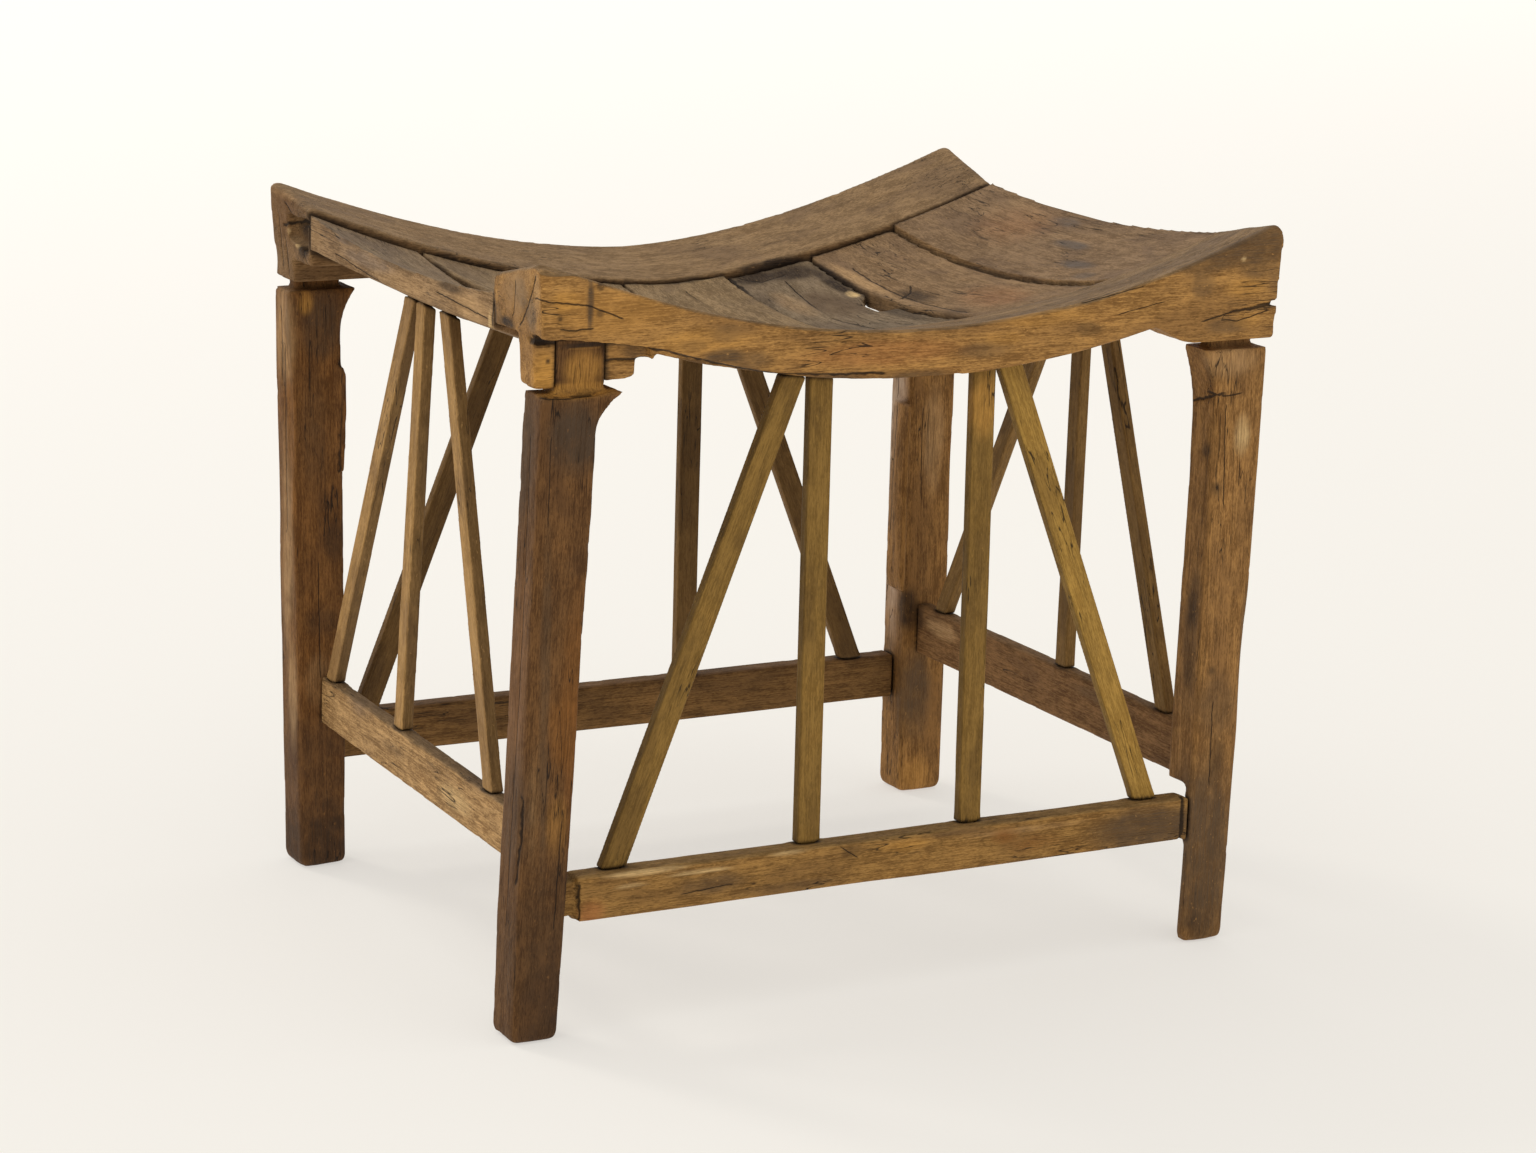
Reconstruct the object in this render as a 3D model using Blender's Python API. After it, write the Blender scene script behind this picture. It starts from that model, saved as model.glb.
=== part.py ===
"""A low stool of joined wood: four legs, two long dished rails, seven boards and lattice struts.

X runs along the long rails, Y from front to back and Z up, in metres, with the floor at zero.
Every piece is a closed solid of its own. Tenons and tongues sit in mortises cut for them, and
the same values size both. The two long rails carry the boards and stand on the legs' tenons.
"""

import math

import bmesh
import bpy

# Whole stool
SEAT_LENGTH = 0.424
SEAT_DEPTH = 0.341
LEG_HEIGHT = 0.322
FIT_GAP = 0.0003
CUT_OVERRUN = 0.004
WELD_DISTANCE = 1e-7
SHARP_ANGLE = math.radians(28)

# Long rails: dished planks with a haunch over each leg
RAIL_WIDTH = 0.054
RAIL_MIDDLE_RISE = 0.0220
BACK_RAIL_DROP = 0.0111
RAIL_MIDDLE_THICKNESS = 0.0255
RAIL_DISH = 0.0450
RAIL_UNDERSIDE_DISH = 0.0420
RAIL_UNDERSIDE_RISE = 0.0305
RAIL_DISH_SHARES = {"front": (1.0, 1.0), "back": (1.035, 1.118)}
RAIL_BEND_SHARES = {"front": 1.0, "back": 0.85}
RAIL_TOP_FALL = 0.0095
RAIL_FALL_SHARES = {"front": (1.32, 1.0, 1.32), "back": (0.70, 1.14, 1.54)}
RAIL_ARRIS = 0.0014
RAIL_TIP_ROUND = 0.0070
RAIL_TIP_TURN_SHARE = 0.8
RAIL_END_RAKE = 0.0040
RAIL_SPAN_STEPS = 8
HAUNCH_STEPS = 4
TIP_STEPS = 4
SHOULDER_CLEARANCE = 0.0045
HAUNCH_THICKNESS = 0.028
HAUNCH_LENGTH = 0.051
HAUNCH_RUN = 0.025
CHEEK_THICKNESS = 0.0105

# Legs: tapered posts with a flared head and a tenon
LEG_WIDTH = 0.0310
LEG_FOOT_WIDTH = 0.0262
LEG_DEPTH = 0.0230
LEG_FOOT_DEPTH = 0.0262
LEG_FACE_INSET = 0.0030
LEG_END_INSET = 0.0045
LEG_ARRIS = 0.0022
FOOT_ROUND = 0.0022
ROUND_STEPS = 3
SHAFT_STEPS = 4
FLARE_STEPS = 6
FLARE_HEIGHT = 0.030
TENON_ARRIS = 0.0007
LEG_TENON_WIDTH = 0.026
LEG_TENON_THICKNESS = 0.009
LEG_TENON_LENGTH = 0.027
LEG_HEAD_SHIFT_SHARES = {
    "front_left": 0.0,
    "front_right": 0.01,
    "back_left": 0.095,
    "back_right": 0.0,
}
LEG_FOOT_SHIFT_SHARES = {
    "front_left": (-0.0435, 0.0004),
    "front_right": (-0.0106, 0.0143),
    "back_left": (0.0155, -0.0152),
    "back_right": (0.0006, -0.0060),
}
LEG_FOOT_WIDTH_SHARES = {
    "front_left": 0.97,
    "front_right": 1.00,
    "back_left": 1.06,
    "back_right": 1.10,
}
FLARE_REACH_SHARES = {
    "front_left": 0.42,
    "front_right": 0.27,
    "back_left": 0.30,
    "back_right": 0.30,
}
FLARE_HEIGHT_SHARES = {
    "front_left": 0.62,
    "front_right": 1.30,
    "back_left": 0.80,
    "back_right": 1.00,
}
TENON_SHOULDER_SHARES = {
    "front_left": 0.33,
    "front_right": 0.20,
    "back_left": 0.20,
    "back_right": 0.22,
}

# Stretchers: one between each pair of legs, at heights that keep their mortises apart
FRONT_STRETCHER_TOP = 0.0816
FRONT_STRETCHER_HEIGHT = 0.0235
FRONT_STRETCHER_THICKNESS = 0.0145
BACK_STRETCHER_TOP = 0.0830
BACK_STRETCHER_HEIGHT = 0.0265
BACK_STRETCHER_THICKNESS = 0.0130
LEFT_STRETCHER_CLEARANCE = 0.0004
LEFT_STRETCHER_HEIGHT = 0.0270
LEFT_STRETCHER_THICKNESS = 0.0095
RIGHT_STRETCHER_CLEARANCE = 0.0039
RIGHT_STRETCHER_HEIGHT = 0.0300
RIGHT_STRETCHER_THICKNESS = 0.0100
STRETCHER_ARRIS = 0.0010
STRETCHER_SEAT_SHARES = {
    "front": (0.62, 0.70),
    "back": (0.73, 0.655),
    "left": (0.42, 0.385),
    "right": (0.50, 0.44),
}
STRETCHER_TENON_LENGTH = 0.0130
STRETCHER_TENON_HEIGHT_SHARE = 0.78
STRETCHER_TENON_THICKNESS_SHARE = 0.46
TIGHT_SHOULDER_GAP = 0.0008
LOOSE_SHOULDER_GAP = 0.0060

# Struts: flat sticks between the stretchers and the seat, with a stub tenon at each end
LONG_SIDE_STRUT_WIDTH = 0.0132
SHORT_SIDE_STRUT_WIDTH = 0.0114
STRUT_THICKNESS = 0.0068
STRUT_ARRIS = 0.0007
STRUT_TENON_LENGTH = 0.0055
STRUT_TENON_SHARE = 0.62
STRUT_HEAD_GAP = 0.0005
STRUT_FACE_INSET = 0.0110
STRUT_SEAT_INSET = 0.0025
SIDE_STRUT_HEAD_INSET = 0.0215
# Foot as a share of the span between the legs, head as a share of half the stool, and how many
# strut widths the head stands off from there
STRUT_SHARES = {
    "front": {
        "outer_left": (0.078, -0.245, -1.17),
        "upright_left": (0.379, -0.245, 0.0),
        "upright_right": (0.639, 0.196, 0.0),
        "outer_right": (0.933, 0.196, 1.11),
    },
    "back": {
        "outer_left": (0.048, -0.219, -1.80),
        "upright_left": (0.368, -0.219, 0.0),
        "upright_right": (0.609, 0.182, 0.0),
        "outer_right": (0.918, 0.182, 1.27),
    },
    "left": {
        "outer_back": (0.959, 0.045, 1.29),
        "upright": (0.598, 0.045, 0.0),
        "outer_front": (0.160, 0.045, -2.54),
    },
    "right": {
        "outer_back": (0.916, -0.092, 1.29),
        "upright": (0.445, -0.092, 0.0),
        "outer_front": (0.083, -0.092, -1.18),
    },
}

# Boards of the seat, from left to right
SEAM_GAP = 0.0014
END_BOARD_OVERHANG_INSET = 0.0022
SLAT_THICKNESS = 0.0100
END_BOARD_THICKNESS = 0.0135
END_BOARD_EXTRA_EDGE = 0.0050
SEAT_DISH = 0.0150
SEAT_END_DISH = 0.0068
BOARD_TONGUE_LENGTH = 0.0070
BOARD_TONGUE_THICKNESS_SHARE = 0.40
BOARD_TONGUE_DEPTH_SHARE = 0.20
BOARD_TONGUE_SIDE_SHARE = 0.08
BOARD_RECESS = 0.0030
BOARD_STATIONS = 12
BOARD_STRIPS = 4
BOARD_NAMES = (
    "end_board_left",
    "slat_1",
    "slat_2",
    "slat_3",
    "slat_4",
    "slat_5",
    "end_board_right",
)
SEAM_SHARES = (-0.693, -0.413, -0.122, 0.183, 0.430, 0.682)
BOARD_RECESS_SHARES = {
    "end_board_left": (1.5, 3.6),
    "slat_1": (1.3, 1.1),
    "slat_2": (0.8, 1.1),
    "slat_3": (0.7, 1.2),
    "slat_4": (1.4, 1.5),
    "slat_5": (1.1, 1.2),
    "end_board_right": (0.2, 0.5),
}
BOARD_DISH_SHARES = {
    "end_board_left": 1.0,
    "slat_1": 0.85,
    "slat_2": 0.80,
    "slat_3": 1.0,
    "slat_4": 1.1,
    "slat_5": 1.0,
    "end_board_right": 1.0,
}

# Old damage: split and burst rail ends, a drying crack, a rotted board edge and a split foot
SPLIT_DEPTH = 0.0040
CHEEK_SPLIT_SHARES = (
    (-1.03, 0.156),
    (-0.86, 0.067),
    (-0.71, -0.033),
)
SLIVER_SPLIT_SHARES = (
    (-0.71, -0.033),
    (-0.61, -0.164),
    (-0.50, -0.298),
    (-0.38, -0.409),
    (-0.23, -0.453),
    (0.10, -0.467),
)
BURST_LENGTH = 0.0110
BURST_ABOVE_TONGUE = 0.0025
BURST_BELOW_TONGUE = 0.0100
BURST_SHARES = (0.06, 0.56)
BURST_TAPER_SHARE = 0.33
BURST_SLOPE_SHARE = 0.25
LOST_HAUNCH_SHARES = (-0.25, 0.48, 0.76)
LOST_HAUNCH_STEP_SHARE = 0.65
CRACK_LENGTH = 0.0360
CRACK_MOUTH = 0.0026
CRACK_RISE = 0.0055
CRACK_HEIGHT = 0.0145
CRACK_DEPTH_SHARE = 0.85
ROTTED_BOARD = "slat_4"
ROTTED_WIDTH = 0.0068
ROTTED_SHARES = ((0.46, 0.0), (0.38, 0.65), (0.29, 1.0), (0.17, 0.9), (0.09, 0.0))
FOOT_SPLIT_HEIGHT = 0.0860
FOOT_SPLIT_DEPTH = 0.0190
FOOT_SPLIT_WIDTH = 0.0190

# Red, green and blue of each kind of piece, and its roughness
FINISH_SHARES = {
    "seat_rail_front": (0.32, 0.17, 0.06, 0.60),
    "seat_rail_back": (0.24, 0.14, 0.07, 0.65),
    "leg": (0.13, 0.06, 0.025, 0.60),
    "stretcher": (0.20, 0.11, 0.045, 0.65),
    "strut": (0.20, 0.12, 0.035, 0.60),
    "board": (0.19, 0.115, 0.06, 0.75),
}

HALF_LENGTH = SEAT_LENGTH / 2
HALF_DEPTH = SEAT_DEPTH / 2
SIDE_SIGNS = {"front": -1, "back": 1, "left": -1, "right": 1}
HAUNCH_BOTTOM = LEG_HEIGHT + SHOULDER_CLEARANCE
HAUNCH_START = HALF_LENGTH - HAUNCH_LENGTH - HAUNCH_RUN
INNER_FACE = HALF_DEPTH - RAIL_WIDTH


def clear_scene():
    for obj in list(bpy.data.objects):
        bpy.data.objects.remove(obj, do_unlink=True)


def centre_model():
    """Parents every object to one empty, which sets the stool's footprint round the origin."""
    pieces = [obj for obj in bpy.data.objects if obj.type == "MESH"]
    corners = [vertex.co for obj in pieces if not obj.hide_render for vertex in obj.data.vertices]
    centre = [(min(c[i] for c in corners) + max(c[i] for c in corners)) / 2 for i in (0, 1)]
    stool = bpy.data.objects.new("stool", None)
    bpy.context.scene.collection.objects.link(stool)
    stool.location = (-centre[0], -centre[1], 0)
    for obj in pieces:
        obj.parent = stool


def blend(first, second, share):
    return first + (second - first) * share


def wood(name, kind):
    *colour, roughness = FINISH_SHARES[kind]
    material = bpy.data.materials.new(f"{name}_wood")
    material.use_nodes = True
    shader = material.node_tree.nodes["Principled BSDF"]
    shader.inputs["Base Color"].default_value = (*colour, 1.0)
    shader.inputs["Roughness"].default_value = roughness
    shader.inputs["Metallic"].default_value = 0.0
    material.diffuse_color = (*colour, 1.0)
    return material


def rounded_rectangle(low_u, high_u, low_v, high_v, radius, steps=1):
    """Corner points of a rectangle with rounded or, for one step, chamfered corners."""
    points = []
    corners = (
        (high_u - radius, high_v - radius, 0),
        (low_u + radius, high_v - radius, 1),
        (low_u + radius, low_v + radius, 2),
        (high_u - radius, low_v + radius, 3),
    )
    for centre_u, centre_v, quarter in corners:
        for step in range(steps + 1):
            angle = (quarter + step / steps) * math.pi / 2
            points.append((centre_u + radius * math.cos(angle), centre_v + radius * math.sin(angle)))
    return points


def loft_mesh(name, rings_list):
    """A mesh of closed lofts. Each loft is a list of rings with the same number of points."""
    bm = bmesh.new()
    for rings in rings_list:
        loops = [[bm.verts.new(point) for point in ring] for ring in rings]
        for near, far in zip(loops, loops[1:]):
            for i in range(len(near)):
                j = (i + 1) % len(near)
                bm.faces.new((near[i], near[j], far[j], far[i]))
        bm.faces.new(loops[0][::-1])
        bm.faces.new(loops[-1])
    bmesh.ops.remove_doubles(bm, verts=bm.verts, dist=WELD_DISTANCE)
    bmesh.ops.recalc_face_normals(bm, faces=bm.faces)
    mesh = bpy.data.meshes.new(name)
    bm.to_mesh(mesh)
    bm.free()
    return mesh


def piece(name, rings, kind):
    mesh = loft_mesh(name, [rings])
    mesh.shade_smooth()
    mesh.set_sharp_from_angle(angle=SHARP_ANGLE)
    mesh.materials.append(wood(name, kind))
    obj = bpy.data.objects.new(name, mesh)
    bpy.context.scene.collection.objects.link(obj)
    return obj


def cut(obj, label, rings_list):
    """Cuts closed lofts out of an object. The cutter stays in the scene as a hidden guide."""
    cutter = bpy.data.objects.new(f"{obj.name}_{label}_cutter", loft_mesh(label, rings_list))
    cutter.display_type = "WIRE"
    cutter.hide_render = True
    bpy.context.scene.collection.objects.link(cutter)
    modifier = obj.modifiers.new(label, "BOOLEAN")
    modifier.operation = "DIFFERENCE"
    modifier.solver = "EXACT"
    modifier.object = cutter


def block_rings(low, high):
    """Two rings, at the bottom and the top, of an upright block."""
    corners = ((low[0], low[1]), (high[0], low[1]), (high[0], high[1]), (low[0], high[1]))
    return [[(x, y, z) for x, y in corners] for z in (low[2], high[2])]


# Long rails


def rail_middle(side):
    """Height of the outer top edge at the rail's middle."""
    return LEG_HEIGHT + RAIL_MIDDLE_RISE - (BACK_RAIL_DROP if side == "back" else 0)


def rail_bend(side, x):
    """How far a dished edge has risen towards the tip, as a share: a parabola, or nearer to a V."""
    return (abs(x) / HALF_LENGTH) ** (2 * RAIL_BEND_SHARES[side])


def rail_top(side, x):
    """Height of the rail's outer top edge."""
    share = RAIL_DISH_SHARES[side][0 if x < 0 else 1]
    return rail_middle(side) + RAIL_DISH * share * rail_bend(side, x)


def rail_fall(side, x):
    """How much lower the inner top edge is than the outer one, which twists along the rail."""
    left, middle, right = RAIL_FALL_SHARES[side]
    return RAIL_TOP_FALL * blend(middle, left if x < 0 else right, (x / HALF_LENGTH) ** 2)


def rail_underside(side, x):
    middle = rail_middle(side) - RAIL_MIDDLE_THICKNESS
    share = RAIL_DISH_SHARES[side][0 if x < 0 else 1]
    rise = min(RAIL_UNDERSIDE_DISH * rail_bend(side, x), RAIL_UNDERSIDE_RISE)
    return middle + rise * share


def rail_bottom(side, x):
    """Underside of the rail's outer half, which drops to the haunch near each end."""
    underside = rail_underside(side, x)
    into = (abs(x) - HAUNCH_START) / HAUNCH_RUN
    if into <= 0:
        return underside
    return blend(underside, HAUNCH_BOTTOM, math.sin(min(into, 1.0) * math.pi / 2))


def raked(x, z, tip):
    """Pulls the rail's end in towards its foot, so that the tip overhangs."""
    into = max(0.0, (abs(x) - HAUNCH_START) / (HALF_LENGTH - HAUNCH_START))
    down = (tip - z) / (tip - HAUNCH_BOTTOM)
    return x - math.copysign(RAIL_END_RAKE * into * down, x)


def rail_ring(side, x, tip_drop):
    """Section of a long rail: outer face, sloping top, inner face, underside and haunch."""
    sign = SIDE_SIGNS[side]
    outer = rail_top(side, x) - tip_drop
    inner = outer - rail_fall(side, x)
    underside = rail_underside(side, x)
    bottom = rail_bottom(side, x)
    face = HALF_DEPTH
    haunch_back = face - HAUNCH_THICKNESS
    profile = (
        (face, outer - RAIL_ARRIS),
        (face - RAIL_ARRIS, outer),
        (INNER_FACE + RAIL_ARRIS, inner + RAIL_ARRIS * rail_fall(side, x) / RAIL_WIDTH),
        (INNER_FACE, inner - RAIL_ARRIS),
        (INNER_FACE, underside),
        (haunch_back, underside),
        (haunch_back, min(bottom, underside)),
        (face - RAIL_ARRIS, min(bottom, underside)),
        (face, min(bottom, underside) + RAIL_ARRIS),
    )
    tip = rail_top(side, math.copysign(HALF_LENGTH, x))
    return [(raked(x, z, tip), sign * y, z) for y, z in profile]


def rail_stations():
    """Places along the rail, with how far the rounded tip has dropped at each."""
    haunch_end = HAUNCH_START + HAUNCH_RUN
    round_start = HALF_LENGTH - RAIL_TIP_ROUND
    places = [(HAUNCH_START * i / RAIL_SPAN_STEPS, 0.0) for i in range(RAIL_SPAN_STEPS + 1)]
    places += [(HAUNCH_START + HAUNCH_RUN * i / HAUNCH_STEPS, 0.0) for i in range(1, HAUNCH_STEPS + 1)]
    places.append(((haunch_end + round_start) / 2, 0.0))
    turn = RAIL_TIP_TURN_SHARE * math.pi / 2
    for i in range(TIP_STEPS + 1):
        angle = turn * i / TIP_STEPS
        drop = RAIL_TIP_ROUND * (1 - math.cos(angle))
        places.append((round_start + RAIL_TIP_ROUND * math.sin(angle) / math.sin(turn), drop))
    return [(-x, drop) for x, drop in places[:0:-1]] + places


def mortise_rings(corner):
    """Cutter for a leg's tenon, from below the haunch."""
    low_x, high_x, low_y, high_y = tenon_section(corner)
    low = (low_x - FIT_GAP, low_y - FIT_GAP, HAUNCH_BOTTOM - CUT_OVERRUN)
    high = (high_x + FIT_GAP, high_y + FIT_GAP, LEG_HEIGHT + LEG_TENON_LENGTH + FIT_GAP)
    return block_rings(low, high)


def split_rings(depth, shares):
    """Cutter under a split line of the front rail, given in shares of half length and dish."""
    middle = rail_middle("front")
    outline = [(along * HALF_LENGTH, middle + rise * RAIL_DISH) for along, rise in shares]
    floor = HAUNCH_BOTTOM - RAIL_MIDDLE_THICKNESS
    outline.append((outline[-1][0], floor))
    outline.append((outline[0][0], floor))
    faces = (-HALF_DEPTH - CUT_OVERRUN, -HALF_DEPTH + depth)
    return [[(x, y, z) for x, z in outline] for y in faces]


def build_rail(side):
    name = f"seat_rail_{side}"
    rail = piece(name, [rail_ring(side, x, drop) for x, drop in rail_stations()], name)
    if side == "front":
        break_front_rail(rail)
    else:
        break_back_rail(rail)
    cut(rail, "leg_mortises", [mortise_rings(f"{side}_left"), mortise_rings(f"{side}_right")])
    sockets = [strut_socket_rings(side, label, "top") for label in STRUT_SHARES[side]]
    cut(rail, "strut_sockets", sockets)
    cut(rail, "board_grooves", [tongue_rings(name, side, FIT_GAP) for name in BOARD_NAMES])


def break_front_rail(rail):
    """The outer cheek under the left end and a sliver along the lower edge have split away."""
    cut(rail, "lost_cheek", [split_rings(CHEEK_THICKNESS, CHEEK_SPLIT_SHARES)])
    cut(rail, "lost_sliver", [split_rings(SPLIT_DEPTH, SLIVER_SPLIT_SHARES)])
    cut(rail, "lost_haunch", [lost_haunch_rings()])
    cut(rail, "end_crack", [crack_rings()])


def crack_rings():
    """Cutter for the wedge-shaped crack that opens the outer cheek at the right end."""
    start = HALF_LENGTH - CRACK_LENGTH
    end = HALF_LENGTH + CUT_OVERRUN
    height = HAUNCH_BOTTOM + CRACK_HEIGHT
    mouth = height + CRACK_RISE
    outline = ((start, height), (end, mouth - CRACK_MOUTH / 2), (end, mouth + CRACK_MOUTH / 2))
    faces = (-HALF_DEPTH - CUT_OVERRUN, -HALF_DEPTH + CHEEK_THICKNESS * CRACK_DEPTH_SHARE)
    return [[(x, y, z) for x, z in outline] for y in faces]


def lost_haunch_rings():
    """Cutter for the inner end of the left haunch, which has gone in two steps."""
    end, upper, lower = (-HAUNCH_START - HAUNCH_RUN * share for share in LOST_HAUNCH_SHARES)
    step = blend(HAUNCH_BOTTOM, rail_underside("front", lower), LOST_HAUNCH_STEP_SHARE)
    floor = HAUNCH_BOTTOM - CUT_OVERRUN
    outline = [(end, floor), (lower, floor), (lower, step), (upper, step)]
    for i in range(HAUNCH_STEPS + 1):
        x = blend(upper, end, i / HAUNCH_STEPS)
        outline.append((x, rail_underside("front", x) + FIT_GAP))
    faces = (-HALF_DEPTH - CUT_OVERRUN, -HALF_DEPTH + HAUNCH_THICKNESS + FIT_GAP)
    return [[(x, y, z) for x, z in outline] for y in faces]


def break_back_rail(rail):
    """The lower inner corner of the left end has burst round the end board's tongue."""
    low_y, high_y = (INNER_FACE + share * RAIL_WIDTH for share in BURST_SHARES)
    end = -HALF_LENGTH - CUT_OVERRUN
    inside = -HALF_LENGTH + BURST_LENGTH
    low_z, high_z = tongue_heights("end_board_left", inside, INNER_FACE)
    low_z -= BURST_BELOW_TONGUE
    high_z += BURST_ABOVE_TONGUE
    taper = BURST_LENGTH * BURST_TAPER_SHARE
    ring = ((end, low_y), (inside, low_y), (inside - taper, high_y), (end, high_y))
    slope = (high_z - low_z) * BURST_SLOPE_SHARE
    rings = [[(x, y, z) for x, y in ring] for z in (low_z, high_z)]
    rings[0] = [(x, y, z + slope * (y - low_y) / (high_y - low_y)) for x, y, z in rings[0]]
    cut(rail, "burst_end", [rings])


# Legs


def leg_corner(corner):
    depth_name, length_name = corner.split("_")
    return SIDE_SIGNS[length_name], SIDE_SIGNS[depth_name]


def leg_section(corner, height):
    """Sides of a leg's section at a height, without its flare: low x, high x, low y, high y."""
    sign_x, sign_y = leg_corner(corner)
    down = 1 - height / LEG_HEIGHT
    half_width = blend(LEG_WIDTH, LEG_FOOT_WIDTH * LEG_FOOT_WIDTH_SHARES[corner], down) / 2
    half_depth = blend(LEG_DEPTH, LEG_FOOT_DEPTH, down) / 2
    shift_x, shift_y = LEG_FOOT_SHIFT_SHARES[corner]
    head_x = HALF_LENGTH - LEG_END_INSET - LEG_WIDTH / 2
    centre_x = sign_x * (head_x + LEG_HEAD_SHIFT_SHARES[corner] * LEG_WIDTH)
    centre_x += shift_x * LEG_HEIGHT * down
    centre_y = sign_y * (HALF_DEPTH - LEG_FACE_INSET - LEG_DEPTH / 2) + shift_y * LEG_HEIGHT * down
    return centre_x - half_width, centre_x + half_width, centre_y - half_depth, centre_y + half_depth


def flared_section(corner, height):
    """The leg's section with the bracket that swells inwards under the shoulder."""
    low_x, high_x, low_y, high_y = leg_section(corner, height)
    sign_x, _ = leg_corner(corner)
    flare = FLARE_HEIGHT * FLARE_HEIGHT_SHARES[corner]
    into = max(0.0, 1 - (LEG_HEIGHT - height) / flare)
    reach = LEG_WIDTH * FLARE_REACH_SHARES[corner] * into**2
    if sign_x < 0:
        return low_x, high_x + reach, low_y, high_y
    return low_x - reach, high_x, low_y, high_y


def tenon_section(corner):
    """Section of the tenon on a leg's head, which sits behind the rail's outer cheek."""
    sign_x, sign_y = leg_corner(corner)
    low_x, high_x, _, _ = leg_section(corner, LEG_HEIGHT)
    shoulder = TENON_SHOULDER_SHARES[corner] * LEG_WIDTH
    if sign_x < 0:
        low_x = low_x + shoulder
        high_x = low_x + LEG_TENON_WIDTH
    else:
        high_x = high_x - shoulder
        low_x = high_x - LEG_TENON_WIDTH
    outer_y = sign_y * (HALF_DEPTH - CHEEK_THICKNESS)
    inner_y = outer_y - sign_y * LEG_TENON_THICKNESS
    return low_x, high_x, min(outer_y, inner_y), max(outer_y, inner_y)


def leg_rings(corner):
    rings = []
    for i in range(ROUND_STEPS + 1):
        angle = i / ROUND_STEPS * math.pi / 2
        height = FOOT_ROUND * (1 - math.cos(angle))
        inset = FOOT_ROUND * (1 - math.sin(angle))
        low_x, high_x, low_y, high_y = leg_section(corner, height)
        sides = (low_x + inset, high_x - inset, low_y + inset, high_y - inset)
        section = rounded_rectangle(*sides, LEG_ARRIS, ROUND_STEPS)
        rings.append([(x, y, height) for x, y in section])
    flare_start = LEG_HEIGHT - FLARE_HEIGHT * FLARE_HEIGHT_SHARES[corner]
    heights = [blend(FOOT_ROUND, flare_start, i / SHAFT_STEPS) for i in range(1, SHAFT_STEPS + 1)]
    heights += [blend(flare_start, LEG_HEIGHT, i / FLARE_STEPS) for i in range(1, FLARE_STEPS + 1)]
    for height in heights:
        section = rounded_rectangle(*flared_section(corner, height), LEG_ARRIS, ROUND_STEPS)
        rings.append([(x, y, height) for x, y in section])
    tenon = rounded_rectangle(*tenon_section(corner), TENON_ARRIS, ROUND_STEPS)
    for height in (LEG_HEIGHT, LEG_HEIGHT + LEG_TENON_LENGTH):
        rings.append([(x, y, height) for x, y in tenon])
    return rings


def build_leg(corner):
    leg = piece(f"leg_{corner}", leg_rings(corner), "leg")
    depth_name, length_name = corner.split("_")
    cut(leg, "long_mortise", [stretcher_mortise_rings(depth_name, length_name)])
    cut(leg, "short_mortise", [stretcher_mortise_rings(length_name, depth_name)])
    return leg


def split_foot(leg):
    """The inner back corner of the front right foot has split away below the mortise."""
    rings = []
    for height in (0, FOOT_SPLIT_HEIGHT):
        low_x, _, _, high_y = leg_section("front_right", height)
        slope = FOOT_SPLIT_DEPTH / FOOT_SPLIT_WIDTH
        ring = (
            (low_x - CUT_OVERRUN, high_y - FOOT_SPLIT_DEPTH - CUT_OVERRUN * slope),
            (low_x + FOOT_SPLIT_WIDTH + CUT_OVERRUN / slope, high_y + CUT_OVERRUN),
            (low_x - CUT_OVERRUN, high_y + CUT_OVERRUN),
        )
        rings.append([(x, y, height) for x, y in ring])
    rings.insert(0, [(x, y, -CUT_OVERRUN) for x, y, _ in rings[0]])
    cut(leg, "foot_split", [rings])


# Stretchers


def stretcher_size(side):
    """Top height, height and thickness. The side ones pass over the front one's tenons."""
    left_top = FRONT_STRETCHER_TOP + LEFT_STRETCHER_CLEARANCE + LEFT_STRETCHER_HEIGHT
    right_top = FRONT_STRETCHER_TOP + RIGHT_STRETCHER_CLEARANCE + RIGHT_STRETCHER_HEIGHT
    return {
        "front": (FRONT_STRETCHER_TOP, FRONT_STRETCHER_HEIGHT, FRONT_STRETCHER_THICKNESS),
        "back": (BACK_STRETCHER_TOP, BACK_STRETCHER_HEIGHT, BACK_STRETCHER_THICKNESS),
        "left": (left_top, LEFT_STRETCHER_HEIGHT, LEFT_STRETCHER_THICKNESS),
        "right": (right_top, RIGHT_STRETCHER_HEIGHT, RIGHT_STRETCHER_THICKNESS),
    }[side]


def is_long(side):
    return side in ("front", "back")


def end_corner(side, end):
    return f"{side}_{end}" if is_long(side) else f"{end}_{side}"


def stretcher_ends(side):
    return ("left", "right") if is_long(side) else ("front", "back")


def stretcher_centre(side, end):
    """Across the stretcher, the middle of its section where it meets the leg at one end."""
    top, height, _ = stretcher_size(side)
    section = leg_section(end_corner(side, end), top - height / 2)
    low, high = section[2:] if is_long(side) else section[:2]
    inner, outer = (high, low) if SIDE_SIGNS[side] < 0 else (low, high)
    return blend(inner, outer, STRETCHER_SEAT_SHARES[side][stretcher_ends(side).index(end)])


def leg_inner_face(side, end, reach):
    """Along the stretcher, the leg's inner face where the stretcher's section meets it."""
    top, height, _ = stretcher_size(side)
    axis = 0 if is_long(side) else 2
    faces = []
    for level in (top, top - height):
        section = leg_section(end_corner(side, end), level)
        faces.append(section[axis + 1] if SIDE_SIGNS[end] < 0 else section[axis])
    inward = -SIDE_SIGNS[end]
    return max(faces, key=lambda face: face * inward) + inward * reach


def shoulder_gap(side, end):
    return LOOSE_SHOULDER_GAP if (side, end) == ("front", "left") else TIGHT_SHOULDER_GAP


def along(side, end, place, across, z):
    """A point from its place along the stretcher, its offset across it and its height."""
    centre = stretcher_centre(side, end) + across
    return (place, centre, z) if is_long(side) else (centre, place, z)


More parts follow.
